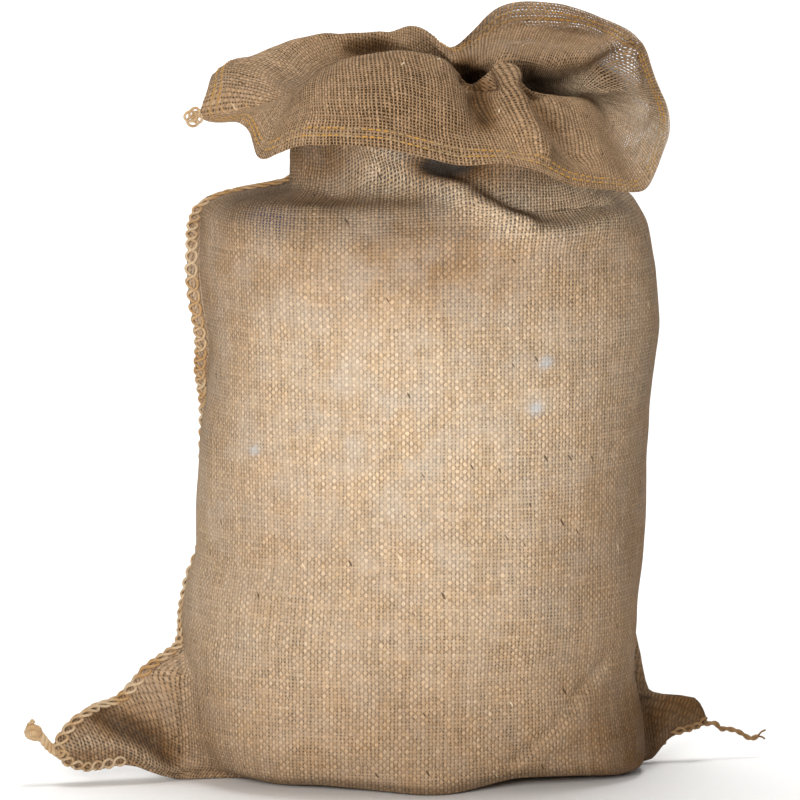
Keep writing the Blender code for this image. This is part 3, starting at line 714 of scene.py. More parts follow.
def closed_curve(knots, values, at):
    """Smooth closed curve through values at knots (0 to 1, rising), read at places at."""
    k = np.concatenate([knots[-2:] - 1, knots, knots[:3] + 1])
    v = np.concatenate([values[-2:], values, values[:3]])
    slope = np.zeros_like(v)
    slope[1:-1] = (v[2:] - v[:-2]) / (k[2:] - k[:-2])[:, None]
    i = np.clip(np.searchsorted(k, at, side="right") - 1, 1, len(k) - 3)
    return hermite(k, v, slope, i, at)


def rib_curve(controls, count):
    """Evenly spaced points along a smooth curve through the controls, from the second one on."""
    k = rise_along(controls)
    slope = np.zeros_like(controls)
    slope[1:-1] = (controls[2:] - controls[:-2]) / (k[2:] - k[:-2])[:, None]
    slope[-1] = (controls[-1] - controls[-2]) / (k[-1] - k[-2])
    at = np.linspace(k[1], k[-1], 240)
    i = np.clip(np.searchsorted(k, at, side="right") - 1, 1, len(k) - 2)
    dense = hermite(k, controls, slope, i, at)
    return resample(dense, np.linspace(0, length_of(dense), count))


def collar_grid(neck_points):
    """Rows from the neck's top ring out to the rim, and each column's share of the way round."""
    ring = neck_points[-1]
    below = neck_points[-3]
    share = rise_along(ring) / length_of(ring)
    knots = np.array([rib[0] for rib in COLLAR_RIBS])
    lines = [np.array([rib[k] for rib in COLLAR_RIBS], float) / 1000 for k in (1, 2, 3, 4)]
    drawn = [closed_curve(knots, line, share % 1.0) for line in lines]
    columns = [rib_curve(np.array(controls), COLLAR_ROWS) for controls in zip(below, ring, *drawn)]
    return np.stack(columns, 1), share


def seen_height(points):
    """Height of points as a viewer a little above the horizon sees it."""
    tilt = math.radians(VIEW_ELEVATION)
    return points[..., 2] * math.cos(tilt) + points[..., 1] * math.sin(tilt)


def fold_collar(points):
    """Pleats, tucks and swellings of the flopped mouth, pushed out of its inner face."""
    flat = points.reshape(-1, 3)
    n = -grid_normals(points).reshape(-1, 3)
    seen = np.stack([flat[:, 0], seen_height(flat)], 1)
    facing = smooth_step(-n[:, 1] * 0.99 + n[:, 2] * 0.12, -0.15, 0.35)
    push = np.zeros(len(flat))
    for line, height, before, after in COLLAR_FOLDS:
        gap, side = line_distance(seen, line)
        push += height * bell(gap, 0, np.where(side > 0, before, after))
    for centre, half, depth in COLLAR_HOLLOWS:
        push -= depth * oval(*seen.T, centre, half)
    moved = flat + n * (1.0, 1.0, 0.4) * (push * facing)[:, None]
    return moved.reshape(points.shape)


def build_collar(neck_points, material):
    """The flopped mouth; returns its grid and each point's distance in from the rim."""
    points, share = collar_grid(neck_points)
    lengths = np.linalg.norm(np.diff(points, axis=0), axis=2)
    from_foot = np.concatenate([np.zeros((1, points.shape[1])), np.cumsum(lengths, axis=0)])
    from_rim = from_foot[-1] - from_foot
    swell = 0.0
    for height, cell, seed in COLLAR_SLACK:
        swell = swell + height * value_noise(points.reshape(-1, 3), cell, seed).reshape(points.shape[:2])
    fade = smooth_step(from_foot, 0.0, 0.03)
    points = points + grid_normals(points) * (swell * fade)[..., None]
    points = points + (fold_collar(points) - points) * fade[..., None]
    points[:, -1] = points[:, 0]
    uv = np.stack([np.broadcast_to(share * CLOTH_ROUND, from_rim.shape), -from_rim], 2)
    piece = grid_piece("collar_hessian", points, uv, material, paint=paint_collar(points, share))
    thicken(piece, COLLAR_CLOTH)
    hand_over(piece, "collar_cloth", "collar")
    return points, from_rim


# ---- materials ---------------------------------------------------------------------------
YARN_HALF = 0.385               # half width of a yarn, in pitches
YARN_THINNER = 0.17             # less this where the weave is open
YARN_CRIMP = 0.42               # rise and fall of a yarn over and under the next one
WARP_PROUD = 0.14               # the upright yarns stand out this much more
LINER_RIB = 0.0024              # spacing of the liner's woven ribs


class Signal:
    """A value inside a material.  Arithmetic on it adds the nodes that work it out."""

    def __init__(self, net, socket):
        self.net = net
        self.socket = socket

    def __add__(self, other):
        return self.net.math("ADD", self, other)

    def __sub__(self, other):
        return self.net.math("SUBTRACT", self, other)

    def __rsub__(self, other):
        return self.net.math("SUBTRACT", other, self)

    def __mul__(self, other):
        return self.net.math("MULTIPLY", self, other)

    def __truediv__(self, other):
        return self.net.math("DIVIDE", self, other)

    def above(self, level):
        return self.net.math("GREATER_THAN", self, level)

    def below(self, level):
        return self.net.math("LESS_THAN", self, level)


class Net:
    """A material's node tree, built with short calls that return signals."""

    def __init__(self, name):
        self.material = bpy.data.materials.new(name)
        self.material.use_nodes = True
        self.material.node_tree.nodes.clear()

    def node(self, kind, inputs=None, **settings):
        """A node with its settings, and its inputs by name or number."""
        node = self.material.node_tree.nodes.new("ShaderNode" + kind)
        for key, value in settings.items():
            setattr(node, key, value)
        for key, value in (inputs or {}).items():
            if isinstance(value, Signal):
                self.material.node_tree.links.new(value.socket, node.inputs[key])
            else:
                node.inputs[key].default_value = value
        return node

    def add(self, kind, inputs=None, out=0, **settings):
        return Signal(self, self.node(kind, inputs, **settings).outputs[out])

    def math(self, operation, *values, clamp=False):
        return self.add("Math", dict(enumerate(values)), operation=operation, use_clamp=clamp)

    def place(self):
        """The cloth coordinates."""
        return self.add("UVMap", uv_map="cloth")

    def parts(self, vector):
        node = self.node("SeparateXYZ", {"Vector": vector})
        return [Signal(self, socket) for socket in node.outputs]

    def vector(self, x, y):
        return self.add("CombineXYZ", {"X": x, "Y": y})

    def noise(self, vector, scale, detail=0.0, dimensions="3D", out=0):
        return self.add("TexNoise", {"Vector": vector, "Scale": scale, "Detail": detail}, out,
                        noise_dimensions=dimensions)

    def flat_noise(self, x, y, detail=0.0):
        return self.noise(self.vector(x, y), 1.0, detail, "2D")

    def mix(self, share, a, b):
        return self.add("Mix", {0: share, 6: a, 7: b}, 2, data_type="RGBA")

    def value_mix(self, share, a, b):
        return self.add("Mix", {0: share, 2: a, 3: b}, data_type="FLOAT")

    def tinted(self, colour, tint):
        return self.add("VectorMath", {0: colour, 1: tint}, operation="MULTIPLY")

    def shaded(self, colour, factor):
        return self.add("VectorMath", {0: colour, "Scale": factor}, operation="SCALE")

    def ramp(self, value, low, high):
        return self.add("MapRange", {"Value": value, "From Min": low, "From Max": high}, clamp=True,
                        interpolation_type="SMOOTHSTEP")

    def finish(self, colour, roughness, height=None, relief=0.001, alpha=1.0, sheen=0.0, specular=0.25):
        """The material, with its height as a relief of the given depth."""
        inputs = {"Base Color": colour, "Roughness": roughness, "Alpha": alpha, "Sheen Weight": sheen,
                  "Specular IOR Level": specular}
        if height is not None:
            inputs["Normal"] = self.add("Bump", {"Height": height, "Distance": relief, "Strength": 1.0})
        self.node("OutputMaterial", {"Surface": self.add("BsdfPrincipled", inputs)})
        return self.material


def yarn(net, across, along, pitch, seed):
    """One set of yarns: number, distance from the yarn's middle in pitches, random tone, slub."""
    place = across / pitch
    number = net.math("FLOOR", place)
    shift = net.add("TexWhiteNoise", {"W": number + seed}, noise_dimensions="1D") * 0.16 - 0.08
    offset = net.math("FRACT", place) - 0.5 - shift
    tone = net.flat_noise(number * 5.13 + seed, along * 17.0, 2.0)
    slub = net.flat_noise(number * 3.71, along * 60.0)
    return number, offset, net.ramp(tone, 0.22, 0.78), slub


def yarn_round(net, offset, half):
    """Cross section of a yarn, 1 on its crown and 0 at its edges and beyond."""
    share = offset / half
    return net.math("SQRT", net.math("MAXIMUM", 1.0 - share * share, 0.0))


def weave(net, u, v, openness):
    """Round yarns over and under each other.

    u and v are (bent, straight) coordinates.  Returns the height, where the warp is on top, where
    there is any yarn, both yarns' tones, and a node that is random at each crossing.
    """
    number_a, offset_a, tone_a, slub_a = yarn(net, u[0], v[1], WARP_PITCH, 11.0)
    number_b, offset_b, tone_b, slub_b = yarn(net, v[0], u[1], WEFT_PITCH, 47.0)
    loose = YARN_HALF - openness * YARN_THINNER
    round_a = yarn_round(net, offset_a, loose + slub_a * 0.26 + tone_a * 0.05 - 0.085)
    round_b = yarn_round(net, offset_b, loose + slub_b * 0.30 + tone_b * 0.06 - 0.075)
    over = 1.0 - net.math("FLOORED_MODULO", number_a + number_b, 2.0) * 2.0
    wave_a = over * net.math("COSINE", offset_b * math.pi)
    wave_b = over * net.math("COSINE", offset_a * math.pi)
    there_a = round_a.above(0.02)
    there_b = round_b.above(0.02)
    height_a = net.value_mix(there_a, -0.6, round_a + wave_a * YARN_CRIMP + WARP_PROUD)
    height_b = net.value_mix(there_b, -0.6, round_b - wave_b * YARN_CRIMP)
    crossing = net.node("TexWhiteNoise", {"Vector": net.vector(number_a, number_b)}, noise_dimensions="2D")
    return (net.math("MAXIMUM", height_a, height_b), height_a.above(height_b),
            net.math("MAXIMUM", there_a, there_b), tone_a, tone_b, crossing)


def make_hessian():
    """Plain-weave jute cloth: uneven yarns with painted shade towards their edges, gaps painted with the
    shade behind them, and specks of bark.
    """
    net = Net("hessian")
    place = net.place()
    u, v, _ = net.parts(place)
    openness, tone, backing, see_through, worn, blue = (
        net.add("Attribute", out="Fac", attribute_name=key) for key in PAINT)
    drift = net.parts(net.noise(place, 15.0, 2.0, "2D", "Color"))
    jolt = net.parts(net.noise(place, 230.0, 1.0, "2D", "Color"))
    bent_u = u + drift[0] * 0.0022 + jolt[0] * 0.0012
    bent_v = v + drift[1] * 0.0018 + jolt[1] * 0.0012
    height, warp_on_top, solid, tone_a, tone_b, crossing = weave(net, (bent_u, u), (bent_v, v), openness)

    warp = net.mix(tone_a, (0.392, 0.283, 0.178, 1), (0.495, 0.372, 0.250, 1))
    weft = net.mix(tone_b, (0.300, 0.212, 0.130, 1), (0.385, 0.285, 0.187, 1))
    colour = net.mix(warp_on_top, weft, warp)
    tint = net.mix(Signal(net, crossing.outputs["Value"]), (1.02, 0.99, 0.95, 1), (0.98, 1.0, 1.05, 1))
    colour = net.tinted(colour, tint)
    fibre = net.value_mix(warp_on_top, net.flat_noise(bent_u * 260.0, bent_v * 1900.0, 1.0),
                          net.flat_noise(bent_u * 1900.0, bent_v * 260.0, 1.0))
    lustre = net.parts(Signal(net, crossing.outputs["Color"]))[1]
    # painted shade: each yarn darker towards its edges and where it dips under, lighter on its crown, with
    # fibre streaks and a random brightness at each crossing; then the mesh's tone, with its painted light and
    # shade
    shade = (fibre * 0.50 + 0.75) * (lustre * 0.22 + 0.89) * (net.ramp(height, -0.1, 1.30) * 0.86 + 0.28)
    shade = shade * (net.noise(place, 9.0, 3.0) * 0.26 + 0.87) * tone
    colour = net.shaded(colour, shade)
    # where the painted shade darkens the tone, the colour turns warmer
    painted_shade_warmth = net.math("MULTIPLY", 1.0 - tone, 1.45, clamp=True)
    colour = net.tinted(colour, net.mix(painted_shade_warmth, (1, 1, 1, 1), (1.0, 0.72, 0.45, 1)))
    veil = backing * net.ramp(net.noise(place, 26.0, 2.0), 0.36, 0.70)
    colour = net.mix(veil * 0.45, colour, (0.430, 0.408, 0.372, 1))
    # painted shade: the gaps between yarns are painted dark brown for the shaded inside of the sack, or a dim
    # liner colour where backing is high, and bluish where blue is painted
    gap = net.mix(backing, (0.042, 0.023, 0.009, 1), (0.29, 0.26, 0.22, 1))
    gap = net.mix(blue, gap, (0.040, 0.045, 0.150, 1))
    colour = net.mix(solid, gap, colour)
    colour = net.mix(worn * 0.8, colour, (0.42, 0.465, 0.51, 1))
    cover = net.math("MAXIMUM", solid, 1.0 - see_through)

    # specks of bark, longer along the weft, and pale bits of straw
    speck = net.node("TexVoronoi", {"Scale": 85.0, "Vector": net.vector(u + v * 0.5, v * 0.38)},
                     voronoi_dimensions="2D")
    chance, size, _ = net.parts(Signal(net, speck.outputs["Color"]))
    within = Signal(net, speck.outputs["Distance"]).below(size * 0.09 + 0.02)
    colour = net.mix(chance.above(0.93) * within * 0.75, colour, (0.055, 0.032, 0.016, 1))
    colour = net.mix(chance.below(0.025) * within * 0.7, colour, (0.66, 0.54, 0.37, 1))
    return net.finish(colour, 0.95, height, 0.0006, cover, specular=0.08)


def make_twine(name, pale, deep, plies=420.0, patch=(38.0, 0.36), groove=0.45, **surface):
    """Two-ply jute twine: slanting plies with painted shade in their grooves, in patches of a pale and a deep
    colour.

    plies is the number of plies per metre, and patch the patches' scale and where they begin.
    """
    net = Net(name)
    along, around, _ = net.parts(net.place())
    slant = along * plies + around
    ply = net.math("ABSOLUTE", net.math("SINE", slant * (2 * math.pi)))
    fibre = net.flat_noise(slant * 5.0, along * 300.0, 2.0)
    share = net.ramp(net.flat_noise(along * patch[0], 0.5, 2.0), patch[1], 0.66)
    # painted shade in the grooves between the plies, with fibre streaks
    shade = (ply * groove + (1 - groove)) * (fibre * 0.5 + 0.75)
    return net.finish(net.shaded(net.mix(share, pale, deep), shade), height=ply + fibre * 0.35, **surface)


def make_sewing_twine(name, pale, deep):
    return make_twine(name, pale, deep, roughness=0.9, relief=0.0005, sheen=0.05, specular=0.15)


def make_marker_yarn():
    """The dyed marker yarn woven along the sack's mouth, worn in places."""
    return make_twine("marker_yarn", (0.55, 0.28, 0.045, 1), (0.40, 0.27, 0.13, 1), 500.0, (45.0, 0.42), 0.4,
                      roughness=0.85, relief=0.0004, sheen=0.1, specular=0.25)


def make_liner():
    """The pale woven liner that shows through the hessian's gaps."""
    net = Net("liner")
    place = net.add("TexCoord", out="Object")
    rib = net.math("SINE", net.parts(place)[2] * (2 * math.pi / LINER_RIB))
    crumple = net.noise(place, 22.0, 3.0)
    colour = net.mix(crumple, (0.50, 0.53, 0.56, 1), (0.70, 0.72, 0.73, 1))
    return net.finish(colour, 0.55, crumple * 4.0 + rib * 0.3, 0.0006, specular=0.4)


# ---- stage -------------------------------------------------------------------------------
CAMERA_DISTANCE = 10.0
CAMERA_TARGET = Vector((-0.0135, 0.0, 0.3373))
FRAME_WIDTH = 0.72              # metres across the picture at the object
SENSOR = 36.0
SWEEP_HALF = 7.0                # half width of the floor and backdrop
SWEEP_FRONT = -14.0
SWEEP_BEND = 1.6                # the floor starts to turn up here
SWEEP_RADIUS = 1.2
SWEEP_TOP = 6.0


def make_stage():
    """A pale floor that turns up into a backdrop."""
    net = Net("floor")
    grain = net.noise(net.add("TexCoord", out="Object"), 90.0, 2.0)
    colour = net.mix(grain, (0.90, 0.90, 0.895, 1), (0.93, 0.93, 0.925, 1))
    # a camera behind the sweep sees through it
    behind = net.add("NewGeometry", out="Backfacing") * net.add("LightPath", out="Is Camera Ray")
    paint = net.finish(colour, 0.9, alpha=1.0 - behind)
    bend = np.radians(np.linspace(0.0, 90.0, 13))
    profile = [(SWEEP_FRONT, 0.0)]
    profile += list(zip(SWEEP_BEND + SWEEP_RADIUS * np.sin(bend), SWEEP_RADIUS * (1 - np.cos(bend))))
    profile.append((SWEEP_BEND + SWEEP_RADIUS, SWEEP_TOP))
    points = [(x, y, z) for y, z in profile for x in (-SWEEP_HALF, SWEEP_HALF)]
    faces = [(2 * k, 2 * k + 1, 2 * k + 3, 2 * k + 2) for k in range(len(profile) - 1)]
    new_mesh("floor_sweep", points, faces, paint)


def point_at(thing, place, target):
    thing.location = place
    thing.rotation_euler = (Vector(target) - Vector(place)).to_track_quat("-Z", "Y").to_euler()


def add_lamp(name, kind, place, target, power, **settings):
    lamp = bpy.data.lights.new(name, kind)
    lamp.energy = power
    for key, value in settings.items():
        setattr(lamp, key, value)
    point_at(place_data(name, lamp), place, target)


def make_light():
    world = bpy.data.worlds.new("studio")
    bpy.context.scene.world = world
    world.use_nodes = True
    back = world.node_tree.nodes["Background"]
    back.inputs["Color"].default_value = (1.0, 1.0, 1.0, 1.0)
    back.inputs["Strength"].default_value = 0.30
    add_lamp("key_light", "AREA", (-0.5, -2.6, 0.75), (-0.03, 0.0, 0.36), 47.0,
             shape="DISK", size=0.7, color=(1.0, 0.985, 0.965))
    add_lamp("front_glow", "SPOT", (-0.35, -2.6, 0.60), (-0.04, -0.15, 0.36), 105.0,
             spot_size=math.radians(21.0), spot_blend=1.0, shadow_soft_size=0.12)
    add_lamp("backdrop_light", "AREA", (0.0, 0.6, 3.6), (0.0, 2.3, 0.9), 120.0, shape="DISK", size=2.5)


def make_camera():
    lens = bpy.data.cameras.new("camera")
    lens.sensor_width = SENSOR
    lens.lens = SENSOR * CAMERA_DISTANCE / FRAME_WIDTH
    camera = place_data("camera", lens)
    tilt = math.radians(VIEW_ELEVATION)
    back = Vector((0.0, -math.cos(tilt), math.sin(tilt))) * CAMERA_DISTANCE
    point_at(camera, CAMERA_TARGET + back, CAMERA_TARGET)
    bpy.context.scene.camera = camera
    bpy.context.scene.view_settings.view_transform = "Standard"


# ---- cords -------------------------------------------------------------------------------
CORD_END = (0.6, 0.45)          # a cord's end: its length and its last ring, in radii


def cord_frames(path):
    """Tangents and two normals along a path, turned as little as possible from point to point."""
    tangent = unit(np.gradient(path, axis=0))
    side = np.empty_like(path)
    side[0] = unit(np.cross(tangent[0], (0.31, 0.52, 0.79)))
    for k in range(1, len(path)):
        side[k] = unit(side[k - 1] - tangent[k] * (side[k - 1] @ tangent[k]))
    return tangent, side, np.cross(tangent, side)


def cords(name, paths, radius, material, sides=7):
    """One mesh of round cords along paths, with closed rounded ends.

    radius is one value, or one value for each path.  The coordinates run along and around.
    """
    points = []
    faces = []
    uvs = []
    angle = np.linspace(0, 2 * np.pi, sides, endpoint=False)
    for path, r in zip(paths, np.broadcast_to(radius, (len(paths),))):
        base = len(points)
        path = np.asarray(path, float)
        tangent, side, other = cord_frames(path)
        end = tangent * r * CORD_END[0]
        path = np.concatenate([path[:1] - end[:1], path, path[-1:] + end[-1:]])
        side, other = (np.concatenate([way[:1], way, way[-1:]]) for way in (side, other))
        scale = np.full(len(path), r)
        scale[[0, -1]] = r * CORD_END[1]
        ring = side[:, None] * np.cos(angle)[:, None] + other[:, None] * np.sin(angle)[:, None]
        points.extend((path[:, None] + ring * scale[:, None, None]).reshape(-1, 3))
        along = rise_along(path)
        for k in range(len(path) - 1):
            for m in range(sides):
                a = base + k * sides + m
                b = base + k * sides + (m + 1) % sides
                faces.append((a, b, b + sides, a + sides))
                corners = ((k, m), (k, m + 1), (k + 1, m + 1), (k + 1, m))
                uvs.extend((along[row], column / sides) for row, column in corners)
        for k, order in ((0, -1), (len(path) - 1, 1)):
            faces.append([base + k * sides + m for m in range(sides)][::order])
            uvs.extend([(along[k], m / sides) for m in range(sides)][::order])
    piece = new_mesh(name, points, faces, material)
    set_uv(piece, uvs)
    return piece


def twist(path, strands, radius, turns_per_metre):
    """Paths of the strands of a laid cord around a path."""
    _, side, other = cord_frames(path)
    made = []
    for k in range(strands):
        a = 2 * np.pi * (rise_along(path) * turns_per_metre + k / strands)
        made.append(path + radius * (side * np.cos(a)[:, None] + other * np.sin(a)[:, None]))
    return made


def smooth_path(controls, count):
    """Evenly spaced points along a smooth curve through the controls."""
    c = np.asarray(controls, float)
    c = np.concatenate([[2 * c[0] - c[1]], c, [2 * c[-1] - c[-2]]])
    t = np.linspace(0, 1, 24, endpoint=False)[:, None]
    out = []
    for a, b, d, e in zip(c, c[1:], c[2:], c[3:]):
        out.append(0.5 * (2 * b + (d - a) * t + (2 * a - 5 * b + 4 * d - e) * t ** 2
                          + (3 * b - a - 3 * d + e) * t ** 3))
    dense = np.concatenate(out + [c[-2:-1]])
    return resample(dense, np.linspace(0, length_of(dense), count))


# ---- sewing ------------------------------------------------------------------------------
# A row of sewn loops: length of one loop, its middle in from the edge, and its half width.
SIDE_LOOPS = (0.0118, 0.0048, 0.0044)
LEFT_EAR_LOOPS = (0.0104, 0.0052, 0.0046)
LEFT_LOWER_LOOPS = (0.0100, 0.0034, 0.0040)
RIGHT_LOWER_LOOPS = (0.0085, 0.0024, 0.0024)
COLLAR_LOOP_HALF = 0.0042
BASE_LOOP_HALF = 0.0036
LOOP_STEPS = 10                 # points along one loop
LOOP_BOW = 0.62                 # below 1 a loop is fuller than a sine wave
TWINE = 0.0013                  # radius of the sewing twine
BASE_TWINE = 0.0007             # radius of the twine pressed flat under the sack
BASE_SEAM_HALF = 0.118          # half length of the seam under the sack
SIDE_SEAM_FOOT = 0.118
SEAM_SHOWS_TO = 0.585           # above this the seam is tucked behind the collar
EAR_SEAM = (0.027, 0.124)       # heights of the side seam's stretch on the left ear
# Lower edges of the ears, for their stitches: distance out from the root, height.  On the front
# sheet only the first stretch shows, and the rest is folded under.
LEFT_LOWER_EDGE = [(0.115, 0.030), (0.110, 0.021), (0.100, 0.0150), (0.086, 0.0120), (0.070, 0.0145),
                   (0.050, 0.0165), (0.030, 0.010), (0.010, 0.005)]
RIGHT_LOWER_EDGE = [(0.072, 0.037), (0.065, 0.0315), (0.054, 0.0285), (0.040, 0.0250), (0.032, 0.017),
                    (0.022, 0.008)]
FRONT_SHARE = 0.62              # share of the edge whose stitches show on the front


def sample(grid, row, column):
    """Bilinear value of a (rows, columns, ...) grid at fractional places."""
    row = np.clip(row, 0, grid.shape[0] - 1.001)
    column = np.clip(column, 0, grid.shape[1] - 1.001)
    r = row.astype(int)
    c = column.astype(int)
    fr = (row - r)[:, None]
    fc = (column - c)[:, None]
    return ((grid[r, c] * (1 - fc) + grid[r, c + 1] * fc) * (1 - fr)
            + (grid[r + 1, c] * (1 - fc) + grid[r + 1, c + 1] * fc) * fr)


def loop_swing(turn):
    """Swing of a strand from one side of the seam to the other and back, -1 to 1."""
    return np.sign(np.sin(turn)) * np.abs(np.sin(turn)) ** LOOP_BOW


def loop_lift(turn, sign):
    """Height of a strand's middle over the cloth: the two strands cross over each other."""
    return TWINE * (0.95 + 0.75 * sign * np.cos(turn))


def overlock(strips, loops):
    """The two crossing strands of an overlock seam on each face of an edge.

    A strip is (surface, normals, distances): rows run along the edge, columns inward from it.
    """
    pitch, middle, half = loops
    made = []
    for surface, normals, distances in strips:
        along = rise_along(surface[:, 0])
        at = np.linspace(0, along[-1], int(along[-1] / pitch * LOOP_STEPS))
        row = np.interp(at, along, np.arange(len(along)))
        turn = at / pitch * np.pi
        for sign in (1, -1):
            inward = middle + sign * half * loop_swing(turn)
            column = np.interp(inward, distances, np.arange(len(distances)))
            out = unit(sample(normals, row, column))
            made.append(sample(surface, row, column) + out * loop_lift(turn, sign)[:, None])
    return made


def seam_strips(points, normals, rows):
    """The two faces of the left seam's edge over a range of rows."""
    n = len(END_STEPS)
    return [(grid[0][rows, :n], grid[1][rows, :n], END_STEPS)
            for grid in ((points, normals), (points[:, ::-1], normals[:, ::-1]))]


def collar_strips(points, normals):
    """The collar's seam, with its middle on the grid's first and last column."""
    half = len(END_STEPS) // 2
    strip, strip_normals = (np.concatenate([grid[:, -1 - half:-1], grid[:, :half + 1]], 1)
                            for grid in (points, normals))
    width = np.linalg.norm(np.diff(strip, axis=1), axis=2).mean(0)
    return [(strip, strip_normals, np.concatenate([[0], np.cumsum(width)]))]


def ear_sheets(points, root):
    """The front and back sheet near an ear: (distance out, height), place across, and side."""
    half = points.shape[1] // 2
    sheets = []
    for part, sign in ((points[:, :half + 1], 1), (points[:, half:], -1)):
        flat = part[len(BASE_SHRINK):].reshape(-1, 3)
        reach = past_root(flat, root)
        near = (reach > -0.03) & (flat[:, 2] < 0.10)
        side_view = np.stack([reach, flat[:, 2]], 1)[near]
        sheets.append((side_view, flat[near, :2] @ ear_axes(root)[1], sign))
    return sheets


def ear_edge_stitches(points, root, outline, loops):
    """Overlock strands along an ear's lower edge, on both sheets."""
    pitch, middle, half = loops
    out, across = ear_axes(root)
    edge = smooth_path(outline, 200)
    along = np.linspace(0, length_of(edge), int(length_of(edge) / pitch * LOOP_STEPS))
    edge = resample(edge, along)
    tangent = unit(np.gradient(edge, axis=0))
    inward = np.stack([-tangent[:, 1], tangent[:, 0]], 1)
    inward *= np.sign(inward[:, 1].mean())
    turn = along / pitch * np.pi
    made = []
    for places, offset, sheet_sign in ear_sheets(points, root):
        shown = slice(0, int(len(edge) * FRONT_SHARE)) if sheet_sign > 0 else slice(None)
        for sign in (1, -1):
            spot = (edge + inward * (middle + sign * half * loop_swing(turn))[:, None])[shown]
            gap = np.linalg.norm(spot[:, None] - places[None], axis=2) + 1e-4
            weight = gap ** -4.0
            side = (weight * offset).sum(1) / weight.sum(1) + sheet_sign * loop_lift(turn[shown], sign)
            plan = out * (root.xy.length + spot[:, :1]) + across * side[:, None]
            made.append(np.column_stack([plan, np.maximum(spot[:, 1], TWINE + 0.0006)]))
    return made


def base_stitches():
    """The bottom seam's stitches, pressed flat under the sack."""
    turn = math.radians(SEAM_TURN[0][1])
    out = np.array([math.cos(turn), math.sin(turn)])
    side = np.array([-out[1], out[0]])
    along = np.linspace(-BASE_SEAM_HALF, BASE_SEAM_HALF, 240)
    phase = along / SIDE_LOOPS[0] * np.pi
    made = []
    for sign in (1, -1):
        swing = loop_swing(phase) * sign * BASE_LOOP_HALF
        height = BASE_TWINE + 0.0005 + 0.0003 * sign * np.cos(phase)
        made.append(np.column_stack([out * along[:, None] + side * swing[:, None], height]))
    return made


def twine_piece(name, paths, material, node, body=None, radius=TWINE):
    piece = cords(name, paths, radius, material)
    hand_over(piece, node, body)
    return piece


def build_seams(points, collar_points, twine, darker_twine):
    normals = grid_normals(points)
    z = points[:, 0, 2]
    rows = np.arange(len(z))
    side = rows[(z > SIDE_SEAM_FOOT) & (z < SEAM_SHOWS_TO)]
    ear = rows[(rows >= len(BASE_SHRINK)) & (z > EAR_SEAM[0]) & (z < EAR_SEAM[1])]
    bend_neck(twine_piece("side_seam_stitches", overlock(seam_strips(points, normals, side), SIDE_LOOPS),
                          twine, "side_seam_twine"))
    ear_rows = [
        ("left_ear_side", overlock(seam_strips(points, normals, ear), LEFT_EAR_LOOPS), twine),
        ("left_ear_bottom", ear_edge_stitches(points, LEFT_EAR, LEFT_LOWER_EDGE, LEFT_LOWER_LOOPS), twine),
        ("right_ear_bottom", ear_edge_stitches(points, RIGHT_EAR, RIGHT_LOWER_EDGE, RIGHT_LOWER_LOOPS),
         darker_twine),
    ]
    for name, paths, material in ear_rows:
        piece = twine_piece(name + "_stitches", paths, material, name + "_twine")
        left = name.startswith("left")
        bend_ear(piece, "left" if left else "right", LEFT_EAR if left else RIGHT_EAR)
    twine_piece("bottom_seam_stitches", base_stitches(), twine, "bottom_seam_twine", "sack", BASE_TWINE)
    strips = collar_strips(collar_points, grid_normals(collar_points))
    loops = (SIDE_LOOPS[0], strips[0][2][-1] / 2, COLLAR_LOOP_HALF)
    twine_piece("collar_seam_stitches", overlock(strips, loops), twine, "collar_seam_twine", "collar")


# ---- liner, marker yarns, tails ----------------------------------------------------------
LINER_TOP = 0.520
LINER_FOOT = 0.016
LINER_ROW = 0.008               # height between its rows
LINER_THICKNESS = 0.0008
MARKER_RADIUS = 0.00085
MARKER_PLACES = (("outer", 0.0095), ("inner", 0.0170))      # distances in from the rim


def build_liner(material):
    points = []
    for z in np.arange(LINER_FOOT, LINER_TOP, LINER_ROW):
        wall, _ = wall_section(z, 220)
        points.append(np.column_stack([wall, np.full(len(wall), z)]))
    points = sculpt_body(np.array(points))
    points = points - grid_normals(points) * LINER_SETBACK
    ring = points[0]
    middle = ring[:-1].mean(0)
    points = np.concatenate([[middle + (ring - middle) * f for f in (0.03, 0.3, 0.6, 0.9)], points])
    piece = grid_piece("liner_sheet", points, points[..., [0, 2]], material)
    thicken(piece, LINER_THICKNESS)
    hand_over(piece, "liner_bag", "sack")


def marker_path(points, normals, from_rim, distance):
    """A yarn woven over and under the collar's cloth at a distance from the rim."""
    column = np.arange(points.shape[1], dtype=float)
    last = len(points) - 1
    row = np.array([last - np.interp(distance, depth[::-1], np.arange(last + 1)) for depth in from_rim.T])
    line = sample(points, row, column)
    out = unit(sample(normals, row, column))
    at = np.arange(0, length_of(line), 0.0011)
    along = rise_along(line)
    centre, n = (np.stack([np.interp(at, along, values) for values in grid.T], 1) for grid in (line, out))
    wave = np.sin(np.pi * at / WARP_PITCH)
    lift = (COLLAR_CLOTH / 2 + 0.0004) * wave - COLLAR_CLOTH / 2
    return centre + unit(n) * lift[:, None]


def build_markers(points, from_rim, material):
    normals = grid_normals(points)
    for name, distance in MARKER_PLACES:
        path = marker_path(points, normals, from_rim, distance)
        piece = cords("marker_yarn_" + name + "_weave", [path], MARKER_RADIUS, material, 6)
        hand_over(piece, "marker_yarn_" + name, "collar")


def tail_points(place, steps):
    """Points of a tail: distances out from the body and up from the tail's root."""
    x, y, z = place
    out = np.array([x, y, 0.0]) / math.hypot(x, y)
    return np.array([(x, y, z) + out * d + (0, 0, h) for d, h in steps]), out


